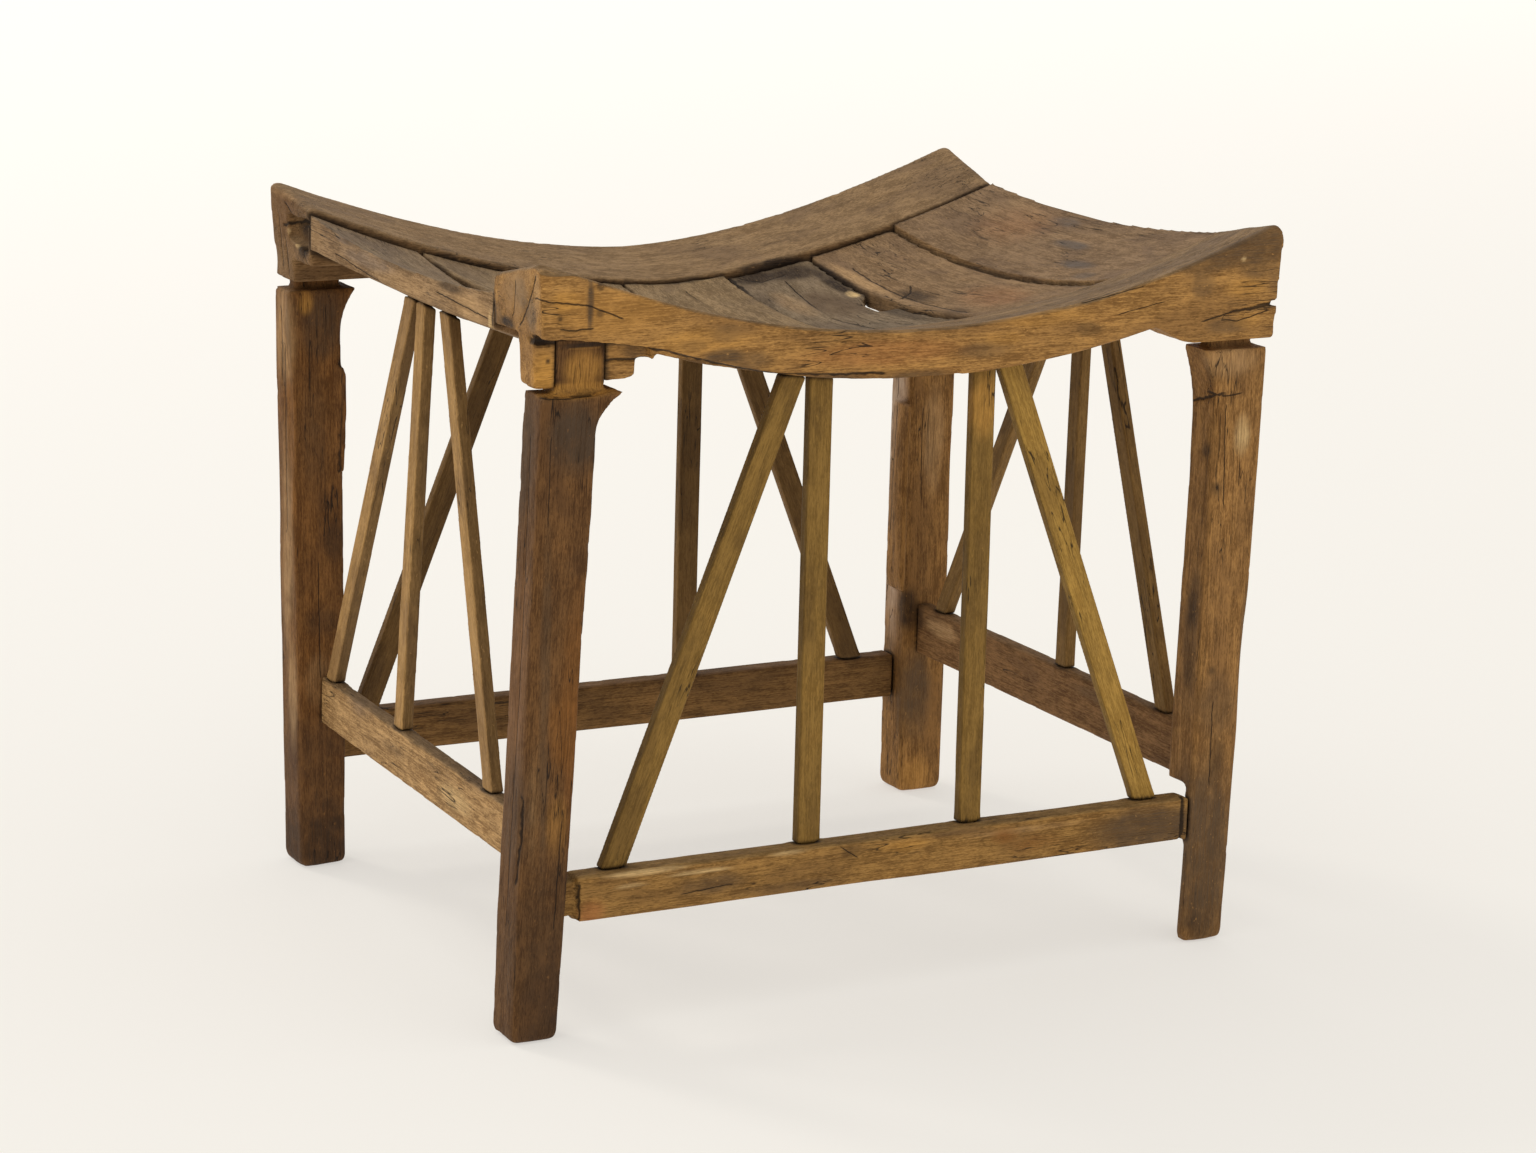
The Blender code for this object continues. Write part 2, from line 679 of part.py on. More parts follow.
def stretcher_section(side, tenon, grow):
    """Section of a stretcher or of its tenon, as offsets across it and heights."""
    top, height, thickness = stretcher_size(side)
    middle = top - height / 2
    half_height = height / 2
    half_thickness = thickness / 2
    arris = STRETCHER_ARRIS
    if tenon:
        half_height *= STRETCHER_TENON_HEIGHT_SHARE
        half_thickness *= STRETCHER_TENON_THICKNESS_SHARE
        arris = TENON_ARRIS
    half_height += grow
    half_thickness += grow
    low_z, high_z = middle - half_height, middle + half_height
    return rounded_rectangle(-half_thickness, half_thickness, low_z, high_z, arris)


def stretcher_rings(side):
    rings = []
    for end in stretcher_ends(side):
        inward = -SIDE_SIGNS[end]
        shoulder = leg_inner_face(side, end, shoulder_gap(side, end))
        tip = leg_inner_face(side, end, 0) - inward * STRETCHER_TENON_LENGTH
        tenon = stretcher_section(side, True, 0)
        body = stretcher_section(side, False, 0)
        end_rings = [
            [along(side, end, tip, across, z) for across, z in tenon],
            [along(side, end, shoulder, across, z) for across, z in tenon],
            [along(side, end, shoulder, across, z) for across, z in body],
        ]
        rings += end_rings if inward > 0 else end_rings[::-1]
    return rings


def stretcher_mortise_rings(side, end):
    inward = -SIDE_SIGNS[end]
    mouth = leg_inner_face(side, end, CUT_OVERRUN)
    bottom = leg_inner_face(side, end, 0) - inward * (STRETCHER_TENON_LENGTH + FIT_GAP)
    section = stretcher_section(side, True, FIT_GAP)
    return [[along(side, end, place, across, z) for across, z in section] for place in (bottom, mouth)]


def build_stretcher(side):
    stretcher = piece(f"stretcher_{side}", stretcher_rings(side), "stretcher")
    sockets = [strut_socket_rings(side, label, "foot") for label in STRUT_SHARES[side]]
    cut(stretcher, "strut_sockets", sockets)
    return stretcher


# Struts


def stretcher_line(side, place):
    """Across the stretcher, its centre line at a place along it."""
    ends = stretcher_ends(side)
    spans = [leg_inner_face(side, end, 0) for end in ends]
    share = (place - spans[0]) / (spans[1] - spans[0])
    return blend(stretcher_centre(side, ends[0]), stretcher_centre(side, ends[1]), share)


def strut_width(side):
    return LONG_SIDE_STRUT_WIDTH if is_long(side) else SHORT_SIDE_STRUT_WIDTH


def strut_axis(side, label):
    """Foot and top of a strut's centre line."""
    foot_share, head_share, step_share = STRUT_SHARES[side][label]
    foot_place = blend(*(leg_inner_face(side, end, 0) for end in stretcher_ends(side)), foot_share)
    half = HALF_LENGTH if is_long(side) else HALF_DEPTH
    head_place = head_share * half + step_share * strut_width(side)
    centre = stretcher_line(side, foot_place)
    top_height = stretcher_size(side)[0]
    sign = SIDE_SIGNS[side]
    if is_long(side):
        head_y = sign * (HALF_DEPTH - STRUT_FACE_INSET - STRUT_THICKNESS / 2)
        foot = (foot_place, centre - sign * STRUT_SEAT_INSET, top_height)
        return foot, (head_place, head_y, rail_bottom(side, head_place))
    head_x = sign * (HALF_LENGTH - SIDE_STRUT_HEAD_INSET)
    head_z = board_bottom(f"end_board_{side}", head_x, head_place)
    return (centre, foot_place, top_height), (head_x, head_place, head_z)


def strut_top_height(side, x, y):
    """Underside of what a strut stands under, at a place."""
    if is_long(side):
        return rail_underside(side, x)
    return board_bottom(f"end_board_{side}", x, y)


def strut_section(side, label, tenon, grow):
    """Section of a strut cut level, as offsets in X and Y from its centre line."""
    foot, head = strut_axis(side, label)
    run = 0 if is_long(side) else 1
    lean = (head[run] - foot[run]) / (head[2] - foot[2])
    half_width = strut_width(side) / 2 * math.sqrt(1 + lean**2)
    half_thickness = STRUT_THICKNESS / 2
    arris = STRUT_ARRIS
    if tenon:
        half_width *= STRUT_TENON_SHARE
        half_thickness *= STRUT_TENON_SHARE
        arris = STRUT_ARRIS * STRUT_TENON_SHARE
    half_width += grow
    half_thickness += grow
    if is_long(side):
        return rounded_rectangle(-half_width, half_width, -half_thickness, half_thickness, arris)
    return rounded_rectangle(-half_thickness, half_thickness, -half_width, half_width, arris)


def on_axis(side, label, offset, z):
    """A point offset from a strut's centre line at a height."""
    foot, head = strut_axis(side, label)
    share = (z - foot[2]) / (head[2] - foot[2])
    x, y = (blend(foot[i], head[i], share) + offset[i] for i in (0, 1))
    return x, y, z


def seated_ring(side, label, section, rise):
    """A ring at a strut's head that follows the underside above it, raised or lowered."""
    _, head = strut_axis(side, label)
    ring = []
    for offset in section:
        z = strut_top_height(side, head[0] + offset[0], head[1] + offset[1]) + rise
        ring.append(on_axis(side, label, offset, z))
    return ring


def level_ring(side, label, section, z):
    return [on_axis(side, label, offset, z) for offset in section]


def build_strut(side, label):
    foot, _ = strut_axis(side, label)
    body = strut_section(side, label, False, 0)
    tenon = strut_section(side, label, True, 0)
    rings = [
        level_ring(side, label, tenon, foot[2] - STRUT_TENON_LENGTH),
        level_ring(side, label, tenon, foot[2] + FIT_GAP),
        level_ring(side, label, body, foot[2] + FIT_GAP),
        seated_ring(side, label, body, -STRUT_HEAD_GAP),
        seated_ring(side, label, tenon, -STRUT_HEAD_GAP),
        seated_ring(side, label, tenon, STRUT_TENON_LENGTH),
    ]
    return piece(f"strut_{side}_{label}", rings, "strut")


def strut_socket_rings(side, label, end):
    section = strut_section(side, label, True, FIT_GAP)
    if end == "foot":
        foot, _ = strut_axis(side, label)
        bottom = foot[2] - STRUT_TENON_LENGTH - FIT_GAP
        return [level_ring(side, label, section, z) for z in (bottom, foot[2] + CUT_OVERRUN)]
    rises = (-CUT_OVERRUN, STRUT_TENON_LENGTH + FIT_GAP)
    return [seated_ring(side, label, section, rise) for rise in rises]


# Seat boards


def board_span(name):
    """Left and right edges of a board."""
    edges = [share * HALF_LENGTH for share in SEAM_SHARES]
    outer = HALF_LENGTH - END_BOARD_OVERHANG_INSET
    edges = [-outer, *edges, outer]
    index = BOARD_NAMES.index(name)
    left = edges[index] + (SEAM_GAP / 2 if index > 0 else 0)
    right = edges[index + 1] - (SEAM_GAP / 2 if index < len(BOARD_NAMES) - 1 else 0)
    return left, right


def is_end_board(name):
    return name.startswith("end_board")


def board_top(name, x, y):
    """Top of a board: between the rails' inner edges, let in below them and dished between them."""
    share = (y + INNER_FACE) / (2 * INNER_FACE)
    front, back = (rail_top(side, x) - rail_fall(side, x) for side in ("front", "back"))
    recess_back, recess_front = BOARD_RECESS_SHARES[name]
    recess = BOARD_RECESS * blend(recess_front, recess_back, share)
    depth = blend(SEAT_DISH, SEAT_END_DISH, (x / HALF_LENGTH) ** 2) * BOARD_DISH_SHARES[name]
    level = max(0.0, 1 - (y / INNER_FACE) ** 2)
    return blend(front, back, share) - recess - depth * level


def board_thickness(name, y):
    if not is_end_board(name):
        return SLAT_THICKNESS
    return END_BOARD_THICKNESS + END_BOARD_EXTRA_EDGE * min(1.0, (y / INNER_FACE) ** 2)


def board_bottom(name, x, y):
    return board_top(name, x, y) - board_thickness(name, y)


def board_ring(name, y):
    left, right = board_span(name)
    places = [blend(left, right, i / BOARD_STRIPS) for i in range(BOARD_STRIPS + 1)]
    above = [(x, y, board_top(name, x, y)) for x in places]
    below = [(x, y, board_bottom(name, x, y)) for x in places[::-1]]
    return above + below


def tongue_heights(name, x, shoulder):
    """Underside and top of the tongue on a board's end, which meets the rail at its shoulder."""
    thickness = END_BOARD_THICKNESS if is_end_board(name) else SLAT_THICKNESS
    top = board_top(name, x, shoulder) - thickness * BOARD_TONGUE_DEPTH_SHARE
    return top - thickness * BOARD_TONGUE_THICKNESS_SHARE, top


def tongue_ring(name, side, y, grow):
    """Section of the tongue on a board's end, which keeps the same section along its length."""
    left, right = board_span(name)
    inset = (right - left) * BOARD_TONGUE_SIDE_SHARE
    left, right = left + inset - grow, right - inset + grow
    shoulder = SIDE_SIGNS[side] * INNER_FACE
    places = [blend(left, right, i / BOARD_STRIPS) for i in range(BOARD_STRIPS + 1)]
    heights = [tongue_heights(name, x, shoulder) for x in places]
    above = [(x, y, top + grow) for x, (_, top) in zip(places, heights)]
    below = [(x, y, low - grow) for x, (low, _) in zip(places, heights)]
    return above + below[::-1]


def tongue_rings(name, side, grow):
    """Cutter for the groove that a board's tongue fits."""
    sign = SIDE_SIGNS[side]
    mouth = sign * (INNER_FACE - CUT_OVERRUN)
    bottom = sign * (INNER_FACE + BOARD_TONGUE_LENGTH + grow)
    return [tongue_ring(name, side, y, grow) for y in (mouth, bottom)]


def build_board(name):
    reach = INNER_FACE - FIT_GAP
    tip = INNER_FACE + BOARD_TONGUE_LENGTH
    rings = [tongue_ring(name, "front", -tip, 0), tongue_ring(name, "front", -reach, 0)]
    places = [blend(-reach, reach, i / BOARD_STATIONS) for i in range(BOARD_STATIONS + 1)]
    rings += [board_ring(name, y) for y in places]
    rings += [tongue_ring(name, "back", reach, 0), tongue_ring(name, "back", tip, 0)]
    board = piece(name, rings, "board")
    if is_end_board(name):
        side = name.rsplit("_", 1)[1]
        sockets = [strut_socket_rings(side, label, "top") for label in STRUT_SHARES[side]]
        cut(board, "strut_sockets", sockets)
    if name == ROTTED_BOARD:
        cut(board, "rotted_edge", [rotted_edge_rings()])
    return board


def rotted_edge_rings():
    """Cutter for the hollow that has rotted through one board at its right seam."""
    _, right = board_span(ROTTED_BOARD)
    outline = [(right - share * ROTTED_WIDTH, place * INNER_FACE) for place, share in ROTTED_SHARES]
    outline[0] = (right + CUT_OVERRUN, outline[0][1])
    outline[-1] = (right + CUT_OVERRUN, outline[-1][1])
    floor = board_bottom(ROTTED_BOARD, right - ROTTED_WIDTH, 0) - CUT_OVERRUN
    ceiling = board_top(ROTTED_BOARD, right, INNER_FACE) + CUT_OVERRUN
    return [[(x, y, z) for x, y in outline] for z in (floor, ceiling)]


def main():
    clear_scene()
    build_rail("front")
    build_rail("back")
    for corner in LEG_FOOT_SHIFT_SHARES:
        leg = build_leg(corner)
        if corner == "front_right":
            split_foot(leg)
    for side in STRETCHER_SEAT_SHARES:
        build_stretcher(side)
    for side, labels in STRUT_SHARES.items():
        for label in labels:
            build_strut(side, label)
    for name in BOARD_NAMES:
        build_board(name)
    centre_model()


main()
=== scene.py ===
"""The finished look of an old low stool: worn, split and stained wood on the fixed frame.

Every solid of the frame is replaced by a worn copy of itself. Splinters are added to the copy, it
is remeshed, its edges are rubbed down, and chips, dents and cracks are worked into it. The grain's
coordinates, edge wear that is also lightened as a painted highlight, cracks, some of whose dark
lines are painted shade in gaps and under steps, dirt with painted shade in the seams and hollows,
weathering, the painted light and shade of each side, and stains, some of them painted shade in
gaps and recesses, are kept on its points as attributes, which the piece's wood material reads.
"""

import math

import bmesh
import bpy
import numpy as np
from mathutils import Matrix, Vector
from mathutils.kdtree import KDTree


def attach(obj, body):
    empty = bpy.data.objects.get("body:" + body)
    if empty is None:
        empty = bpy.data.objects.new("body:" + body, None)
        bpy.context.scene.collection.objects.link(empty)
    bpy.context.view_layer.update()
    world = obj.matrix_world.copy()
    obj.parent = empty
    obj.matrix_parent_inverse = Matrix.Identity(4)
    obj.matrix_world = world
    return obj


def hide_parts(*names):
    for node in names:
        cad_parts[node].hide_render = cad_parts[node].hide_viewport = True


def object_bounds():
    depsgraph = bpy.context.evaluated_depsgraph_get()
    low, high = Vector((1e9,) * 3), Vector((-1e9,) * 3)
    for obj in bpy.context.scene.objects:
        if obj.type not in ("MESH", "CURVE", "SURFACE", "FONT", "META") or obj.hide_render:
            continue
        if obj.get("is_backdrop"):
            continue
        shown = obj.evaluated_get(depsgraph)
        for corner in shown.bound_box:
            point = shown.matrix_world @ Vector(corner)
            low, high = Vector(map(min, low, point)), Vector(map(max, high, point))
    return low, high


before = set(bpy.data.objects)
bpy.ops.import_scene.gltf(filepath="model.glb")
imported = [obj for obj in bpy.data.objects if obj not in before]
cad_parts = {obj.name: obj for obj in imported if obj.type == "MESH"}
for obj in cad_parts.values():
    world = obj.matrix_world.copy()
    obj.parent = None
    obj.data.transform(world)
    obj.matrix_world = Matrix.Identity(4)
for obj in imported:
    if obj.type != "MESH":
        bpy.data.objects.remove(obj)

CAD_LOW, CAD_HIGH = (np.array(corner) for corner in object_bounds())
MM = 0.001

# How each kind of piece wears: the cell of its mesh in millimetres, the rounds of smoothing and
# the share of them that its edges take, and how deep the grain's ridges, the broad hollows and the
# chips go, in millimetres
WEAR = {
    "seat_rail_front": {"voxel": 1.1, "rounds": 4, "rub": 0.50, "grain": 0.30, "sag": 0.5, "chip": 1.0},
    "seat_rail_back": {"voxel": 1.4, "rounds": 3, "rub": 0.50, "grain": 0.30, "sag": 0.5, "chip": 1.0},
    "end_board": {"voxel": 1.0, "rounds": 5, "rub": 0.50, "grain": 0.30, "sag": 0.5, "chip": 0.2},
    "slat": {"voxel": 1.4, "rounds": 3, "rub": 0.50, "grain": 0.35, "sag": 0.6, "chip": 1.2},
    "leg": {"voxel": 1.4, "rounds": 4, "rub": 0.55, "grain": 0.35, "sag": 0.9, "chip": 1.3},
    "stretcher": {"voxel": 1.3, "rounds": 3, "rub": 0.50, "grain": 0.30, "sag": 0.5, "chip": 1.2},
    "strut": {"voxel": 0.8, "rounds": 1, "rub": 0.15, "grain": 0.12, "sag": 0.2, "chip": 0.7},
}

# Kinds with a wide band of dirt and painted shade where they meet other pieces
SEAMED = ("seat_rail", "end_board", "slat")

# Middle colour of each piece's faces and of its weathered top, as 0 to 255, and its roughness
WOODS = {
    "seat_rail_front": ((162, 119, 64), (126, 99, 65), 0.58),
    "seat_rail_back": ((122, 92, 58), (138, 110, 76), 0.66),
    "end_board_left": ((143, 113, 78), (131, 109, 82), 0.70),
    "end_board_right": ((136, 105, 68), (131, 104, 74), 0.70),
    "slat": ((118, 92, 60), (134, 110, 78), 0.70),
    "slat_4": ((104, 82, 56), (124, 105, 81), 0.72),
    "slat_5": ((114, 88, 58), (134, 106, 74), 0.70),
    "leg_front_left": ((104, 71, 37), (110, 78, 44), 0.60),
    "leg_back_left": ((114, 76, 37), (110, 78, 44), 0.60),
    "leg_back_right": ((140, 100, 52), (110, 78, 44), 0.60),
    "leg_front_right": ((145, 105, 57), (140, 104, 62), 0.60),
    "stretcher_front": ((146, 108, 56), (138, 108, 64), 0.64),
    "stretcher_back": ((116, 84, 45), (108, 78, 45), 0.64),
    "stretcher_left": ((166, 130, 84), (118, 94, 64), 0.68),
    "stretcher_right": ((122, 88, 52), (118, 89, 56), 0.66),
    "strut_front": ((130, 99, 46), (130, 100, 54), 0.60),
    "strut_front_outer_right": ((160, 124, 58), (130, 100, 54), 0.60),
    "strut_back": ((108, 80, 42), (110, 84, 46), 0.60),
    "strut_left": ((152, 117, 70), (126, 96, 54), 0.60),
    "strut_right": ((132, 100, 54), (104, 78, 46), 0.60),
}

# Darkest and lightest tone of the wood, as shares of the middle colour's red, green and blue
FACE_SHARES = ((0.60, 0.56, 0.52), (1.40, 1.42, 1.44))
STRUT_SHARES = ((0.76, 0.74, 0.70), (1.22, 1.23, 1.24))
TOP_SHARES = ((0.66, 0.64, 0.62), (1.30, 1.31, 1.32))

# Painted light and shade of the sides: how light the left side and the front side of a piece are
# painted, where its other sides are 1
PAINTED_SIDE_LIGHT = {
    "strut_left": (1.22, 0.66),
    "strut_back": (1.25, 0.95),
    "strut_front": (0.70, 1.06),
    "strut_right": (0.85, 1.0),
    "leg_front_right": (0.84, 1.04),
}
UNPAINTED_SIDE_LIGHT = (1.0, 1.0)


def kind_of(node, names):
    """The longest of the names that the node's name starts with, or None."""
    kinds = [name for name in names if node.startswith(name)]
    return max(kinds, key=len) if kinds else None


def linear(colour):
    """A colour given as 0 to 255, as the linear values that a shader works in."""
    return tuple(((c / 255 + 0.055) / 1.055) ** 2.4 if c > 10 else c / 255 / 12.92 for c in colour)


# Noise and mesh arrays

# Whole numbers that scramble the cells of the noise, one for each axis and one for the seed
PRIME_X = 374761393
PRIME_Y = 668265263
PRIME_Z = 2246822519
PRIME_SEED = 3266489917
LOW_32_BITS = np.uint64(0xFFFFFFFF)
LOW_16_BITS = 0xFFFF

# Keeps the numbers of the noise's cells positive
CELL_SHIFT = 1000.0

# Share of the way to its neighbours' middle that one round of smoothing draws a point, and the
# gentler share that evens out a new mesh
SMOOTH_PULL = 0.6
EVEN_PULL = 0.35

# Each use of the noise: the size of its cells in metres, or three sizes with the first along the
# grain, and what is added to the piece's number as a seed
CLOUDS = {
    "rub": (0.022, 0),
    "chips": ((0.009, 0.005, 0.005), 40),
    "ridges": ((0.070, 0.0055, 0.0055), 80),
    "hollows": ((0.060, 0.026, 0.026), 120),
    "stains": (0.006, 160),
    "flecks": (0.0025, 170),
    "tops": (0.012, 200),
    "seams": (0.018, 240),
}

# Name under which each kind of attribute keeps its values
ATTRIBUTE_KEYS = {"FLOAT": "value", "FLOAT_VECTOR": "vector", "FLOAT_COLOR": "color"}


def lattice(cells, seed):
    """A repeatable value from 0 to 1 for each whole-numbered cell."""
    x, y, z = (cells[:, i].astype(np.uint64) for i in range(3))
    mixed = x * np.uint64(PRIME_X) + y * np.uint64(PRIME_Y) + z * np.uint64(PRIME_Z)
    mixed = (mixed + np.uint64(seed * PRIME_SEED)) & LOW_32_BITS
    for shift, prime in ((15, PRIME_Z), (13, PRIME_SEED)):
        mixed = ((mixed ^ (mixed >> np.uint64(shift))) * np.uint64(prime)) & LOW_32_BITS
    return ((mixed ^ (mixed >> np.uint64(16))) & np.uint64(LOW_16_BITS)).astype(float) / LOW_16_BITS


def noise(points, size, seed):
    """Smooth noise from 0 to 1. The size is one cell's length, or three, in metres."""
    scaled = points / np.asarray(size, float) + CELL_SHIFT
    cells = np.floor(scaled).astype(np.int64)
    inside = scaled - cells
    inside = inside * inside * (3 - 2 * inside)
    total = np.zeros(len(points))
    for corner in range(8):
        bits = np.array([(corner >> i) & 1 for i in range(3)])
        share = np.prod(np.where(bits, inside, 1 - inside), axis=1)
        total += share * lattice(cells + bits, seed)
    return total


def cloud(points, use, number):
    """The noise of one use on the piece with this number."""
    size, seed = CLOUDS[use]
    return noise(points, size, number + seed)


def step(values, low, high):
    """Zero below low and one above high, with a smooth rise between."""
    share = np.clip((values - low) / (high - low), 0, 1)
    return share * share * (3 - 2 * share)


def read_array(items, key, width, kind):
    """One row of values for each vertex or edge."""
    values = np.zeros(len(items) * width, kind)
    items.foreach_get(key, values)
    return values.reshape(-1, width)


def read_points(mesh):
    return read_array(mesh.vertices, "co", 3, np.float32).astype(float)


def read_normals(mesh):
    return read_array(mesh.vertices, "normal", 3, np.float32).astype(float)


def read_edges(mesh):
    return read_array(mesh.edges, "vertices", 2, np.int32)


def write_points(mesh, points):
    mesh.vertices.foreach_set("co", points.astype(np.float32).ravel())
    mesh.update()


def write_attribute(mesh, name, kind, values):
    attribute = mesh.attributes.new(name, kind, "POINT")
    attribute.data.foreach_set(ATTRIBUTE_KEYS[kind], np.ascontiguousarray(values, np.float32).ravel())


def relaxed(points, edges, rounds, pull=SMOOTH_PULL):
    """The points drawn towards the middle of their neighbours, a number of times."""
    count = np.bincount(edges.ravel(), minlength=len(points))[:, None]
    for _ in range(rounds):
        total = np.zeros_like(points)
        for axis in range(points.shape[1]):
            for near, far in ((0, 1), (1, 0)):
                values = points[edges[:, far], axis]
                total[:, axis] += np.bincount(edges[:, near], weights=values, minlength=len(points))
        points = points + pull * (total / count - points)
    return points


def wood_frame(points):
    """Middle of a piece and its three axes, the first along the grain."""
    middle = points.mean(axis=0)
    _, axes = np.linalg.eigh(np.cov((points - middle).T))
    axes = axes[:, ::-1]
    for i in range(3):
        if axes[np.argmax(np.abs(axes[:, i])), i] < 0:
            axes[:, i] *= -1
    return middle, axes


# Copies of the frame's solids, with old splinters added before they are meshed evenly

# Vertices of a solid that lie closer than this, in metres, are one
WELD = 1e-6


def add_prism(bm, outline, start, end):
    """Adds a closed prism between two copies of an outline in X and Z, in millimetres."""
    loops = [[bm.verts.new(Vector((x, y, z)) * MM) for x, z in outline] for y in (start, end)]
    sides = [(loops[0][i - 1], loops[0][i], loops[1][i], loops[1][i - 1]) for i in range(len(outline))]
    faces = [bm.faces.new(side) for side in sides]
    faces += [bm.faces.new(loops[0][::-1]), bm.faces.new(loops[1])]
    bmesh.ops.recalc_face_normals(bm, faces=faces)


def node_copy(node):
    """A welded copy of a frame solid, with its splinters, as a new object."""
    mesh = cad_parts[node].data.copy()
    mesh.materials.clear()
    bm = bmesh.new()
    bm.from_mesh(mesh)
    bmesh.ops.remove_doubles(bm, verts=bm.verts, dist=WELD)
    for outline, start, end in SPLINTERS.get(node, ()):
        add_prism(bm, outline, start, end)
    bm.to_mesh(mesh)
    bm.free()
    worn = bpy.data.objects.new(f"{node}_worn", mesh)
    bpy.context.scene.collection.objects.link(worn)
    return worn


def remesh(worn, voxel):
    """Replaces the object's mesh by an even one with cells of one size, in millimetres."""
    modifier = worn.modifiers.new("even_mesh", "REMESH")
    modifier.mode = "VOXEL"
    modifier.voxel_size = voxel * MM
    modifier.use_smooth_shade = True
    bpy.context.view_layer.update()
    shape = worn.evaluated_get(bpy.context.evaluated_depsgraph_get())
    mesh = bpy.data.meshes.new_from_object(shape)
    old = worn.data
    worn.modifiers.clear()
    worn.data = mesh
    bpy.data.meshes.remove(old)


# Old damage, in millimetres on the built stool

# Dents: middle, reach along X, Y and Z, depth, and the way the wood is pushed
DENTS = {
    "seat_rail_front": (
        ((-196, -171, 388), (24, 10, 9), 3.4, (0, 0.4, -1)),
        ((-212, -171, 352), (5, 6, 22), 1.4, (1, 0.5, 0)),
        ((-202, -158, 325), (16, 24, 8), 2.2, (0, 0, -1)),
        ((218, -158, 389), (12, 36, 13), 2.6, (-0.7, 0, -0.7)),
    ),
    "seat_rail_back": (
        ((-214, 171, 334), (12, 16, 20), 4.5, (1, -0.5, 0.3)),
        ((-212, 122, 363), (9, 12, 3.2), 4.0, (1, 0, 0)),
    ),
    "leg_back_left": (
        ((-208, 146, 250), (6, 8, 60), 1.6, (1, 0.4, 0)),
    ),
    "slat_4": (
        ((87, 26, 318), (8, 18, 10), 1.8, (-1, 0, -0.3)),
    ),
    "slat_5": (
        ((91, 24, 318), (7, 15, 10), 0.9, (1, 0, 0)),
    ),
    "leg_back_right": (
        ((177, 146, 190), (4, 8, 70), -1.2, (1, 0, 0)),
    ),
    "leg_front_left": (
        ((-166, -168, 235), (5, 10, 26), 1.5, (-1, 0.4, 0)),
        ((-208, -168, 120), (5, 10, 40), 1.2, (1, 0.6, 0)),
    ),
    "leg_front_right": (
        ((180, -168, 270), (6, 8, 24), 1.4, (1, 0.5, 0)),
        ((209, -168, 150), (5, 8, 50), 1.2, (-1, 0.4, 0)),
    ),
}

# Splinters that stand proud of a piece: outline in X and Z, and where it starts and ends in Y
SPLINTERS = {
    "leg_back_left": (
        (((-179, 281), (-176, 280), (-174.4, 275), (-174.0, 255), (-175.6, 222), (-179, 222)), 139, 160),
    ),
    "leg_back_right": (
        (((179, 123), (176.2, 124), (175.0, 132), (175.2, 200), (176.5, 236), (179, 236)), 138, 158),
    ),
    "leg_front_right": (
        (((206, 218), (207.6, 216), (208.2, 190), (207.4, 150), (206, 148)), -164, -146),
    ),
}

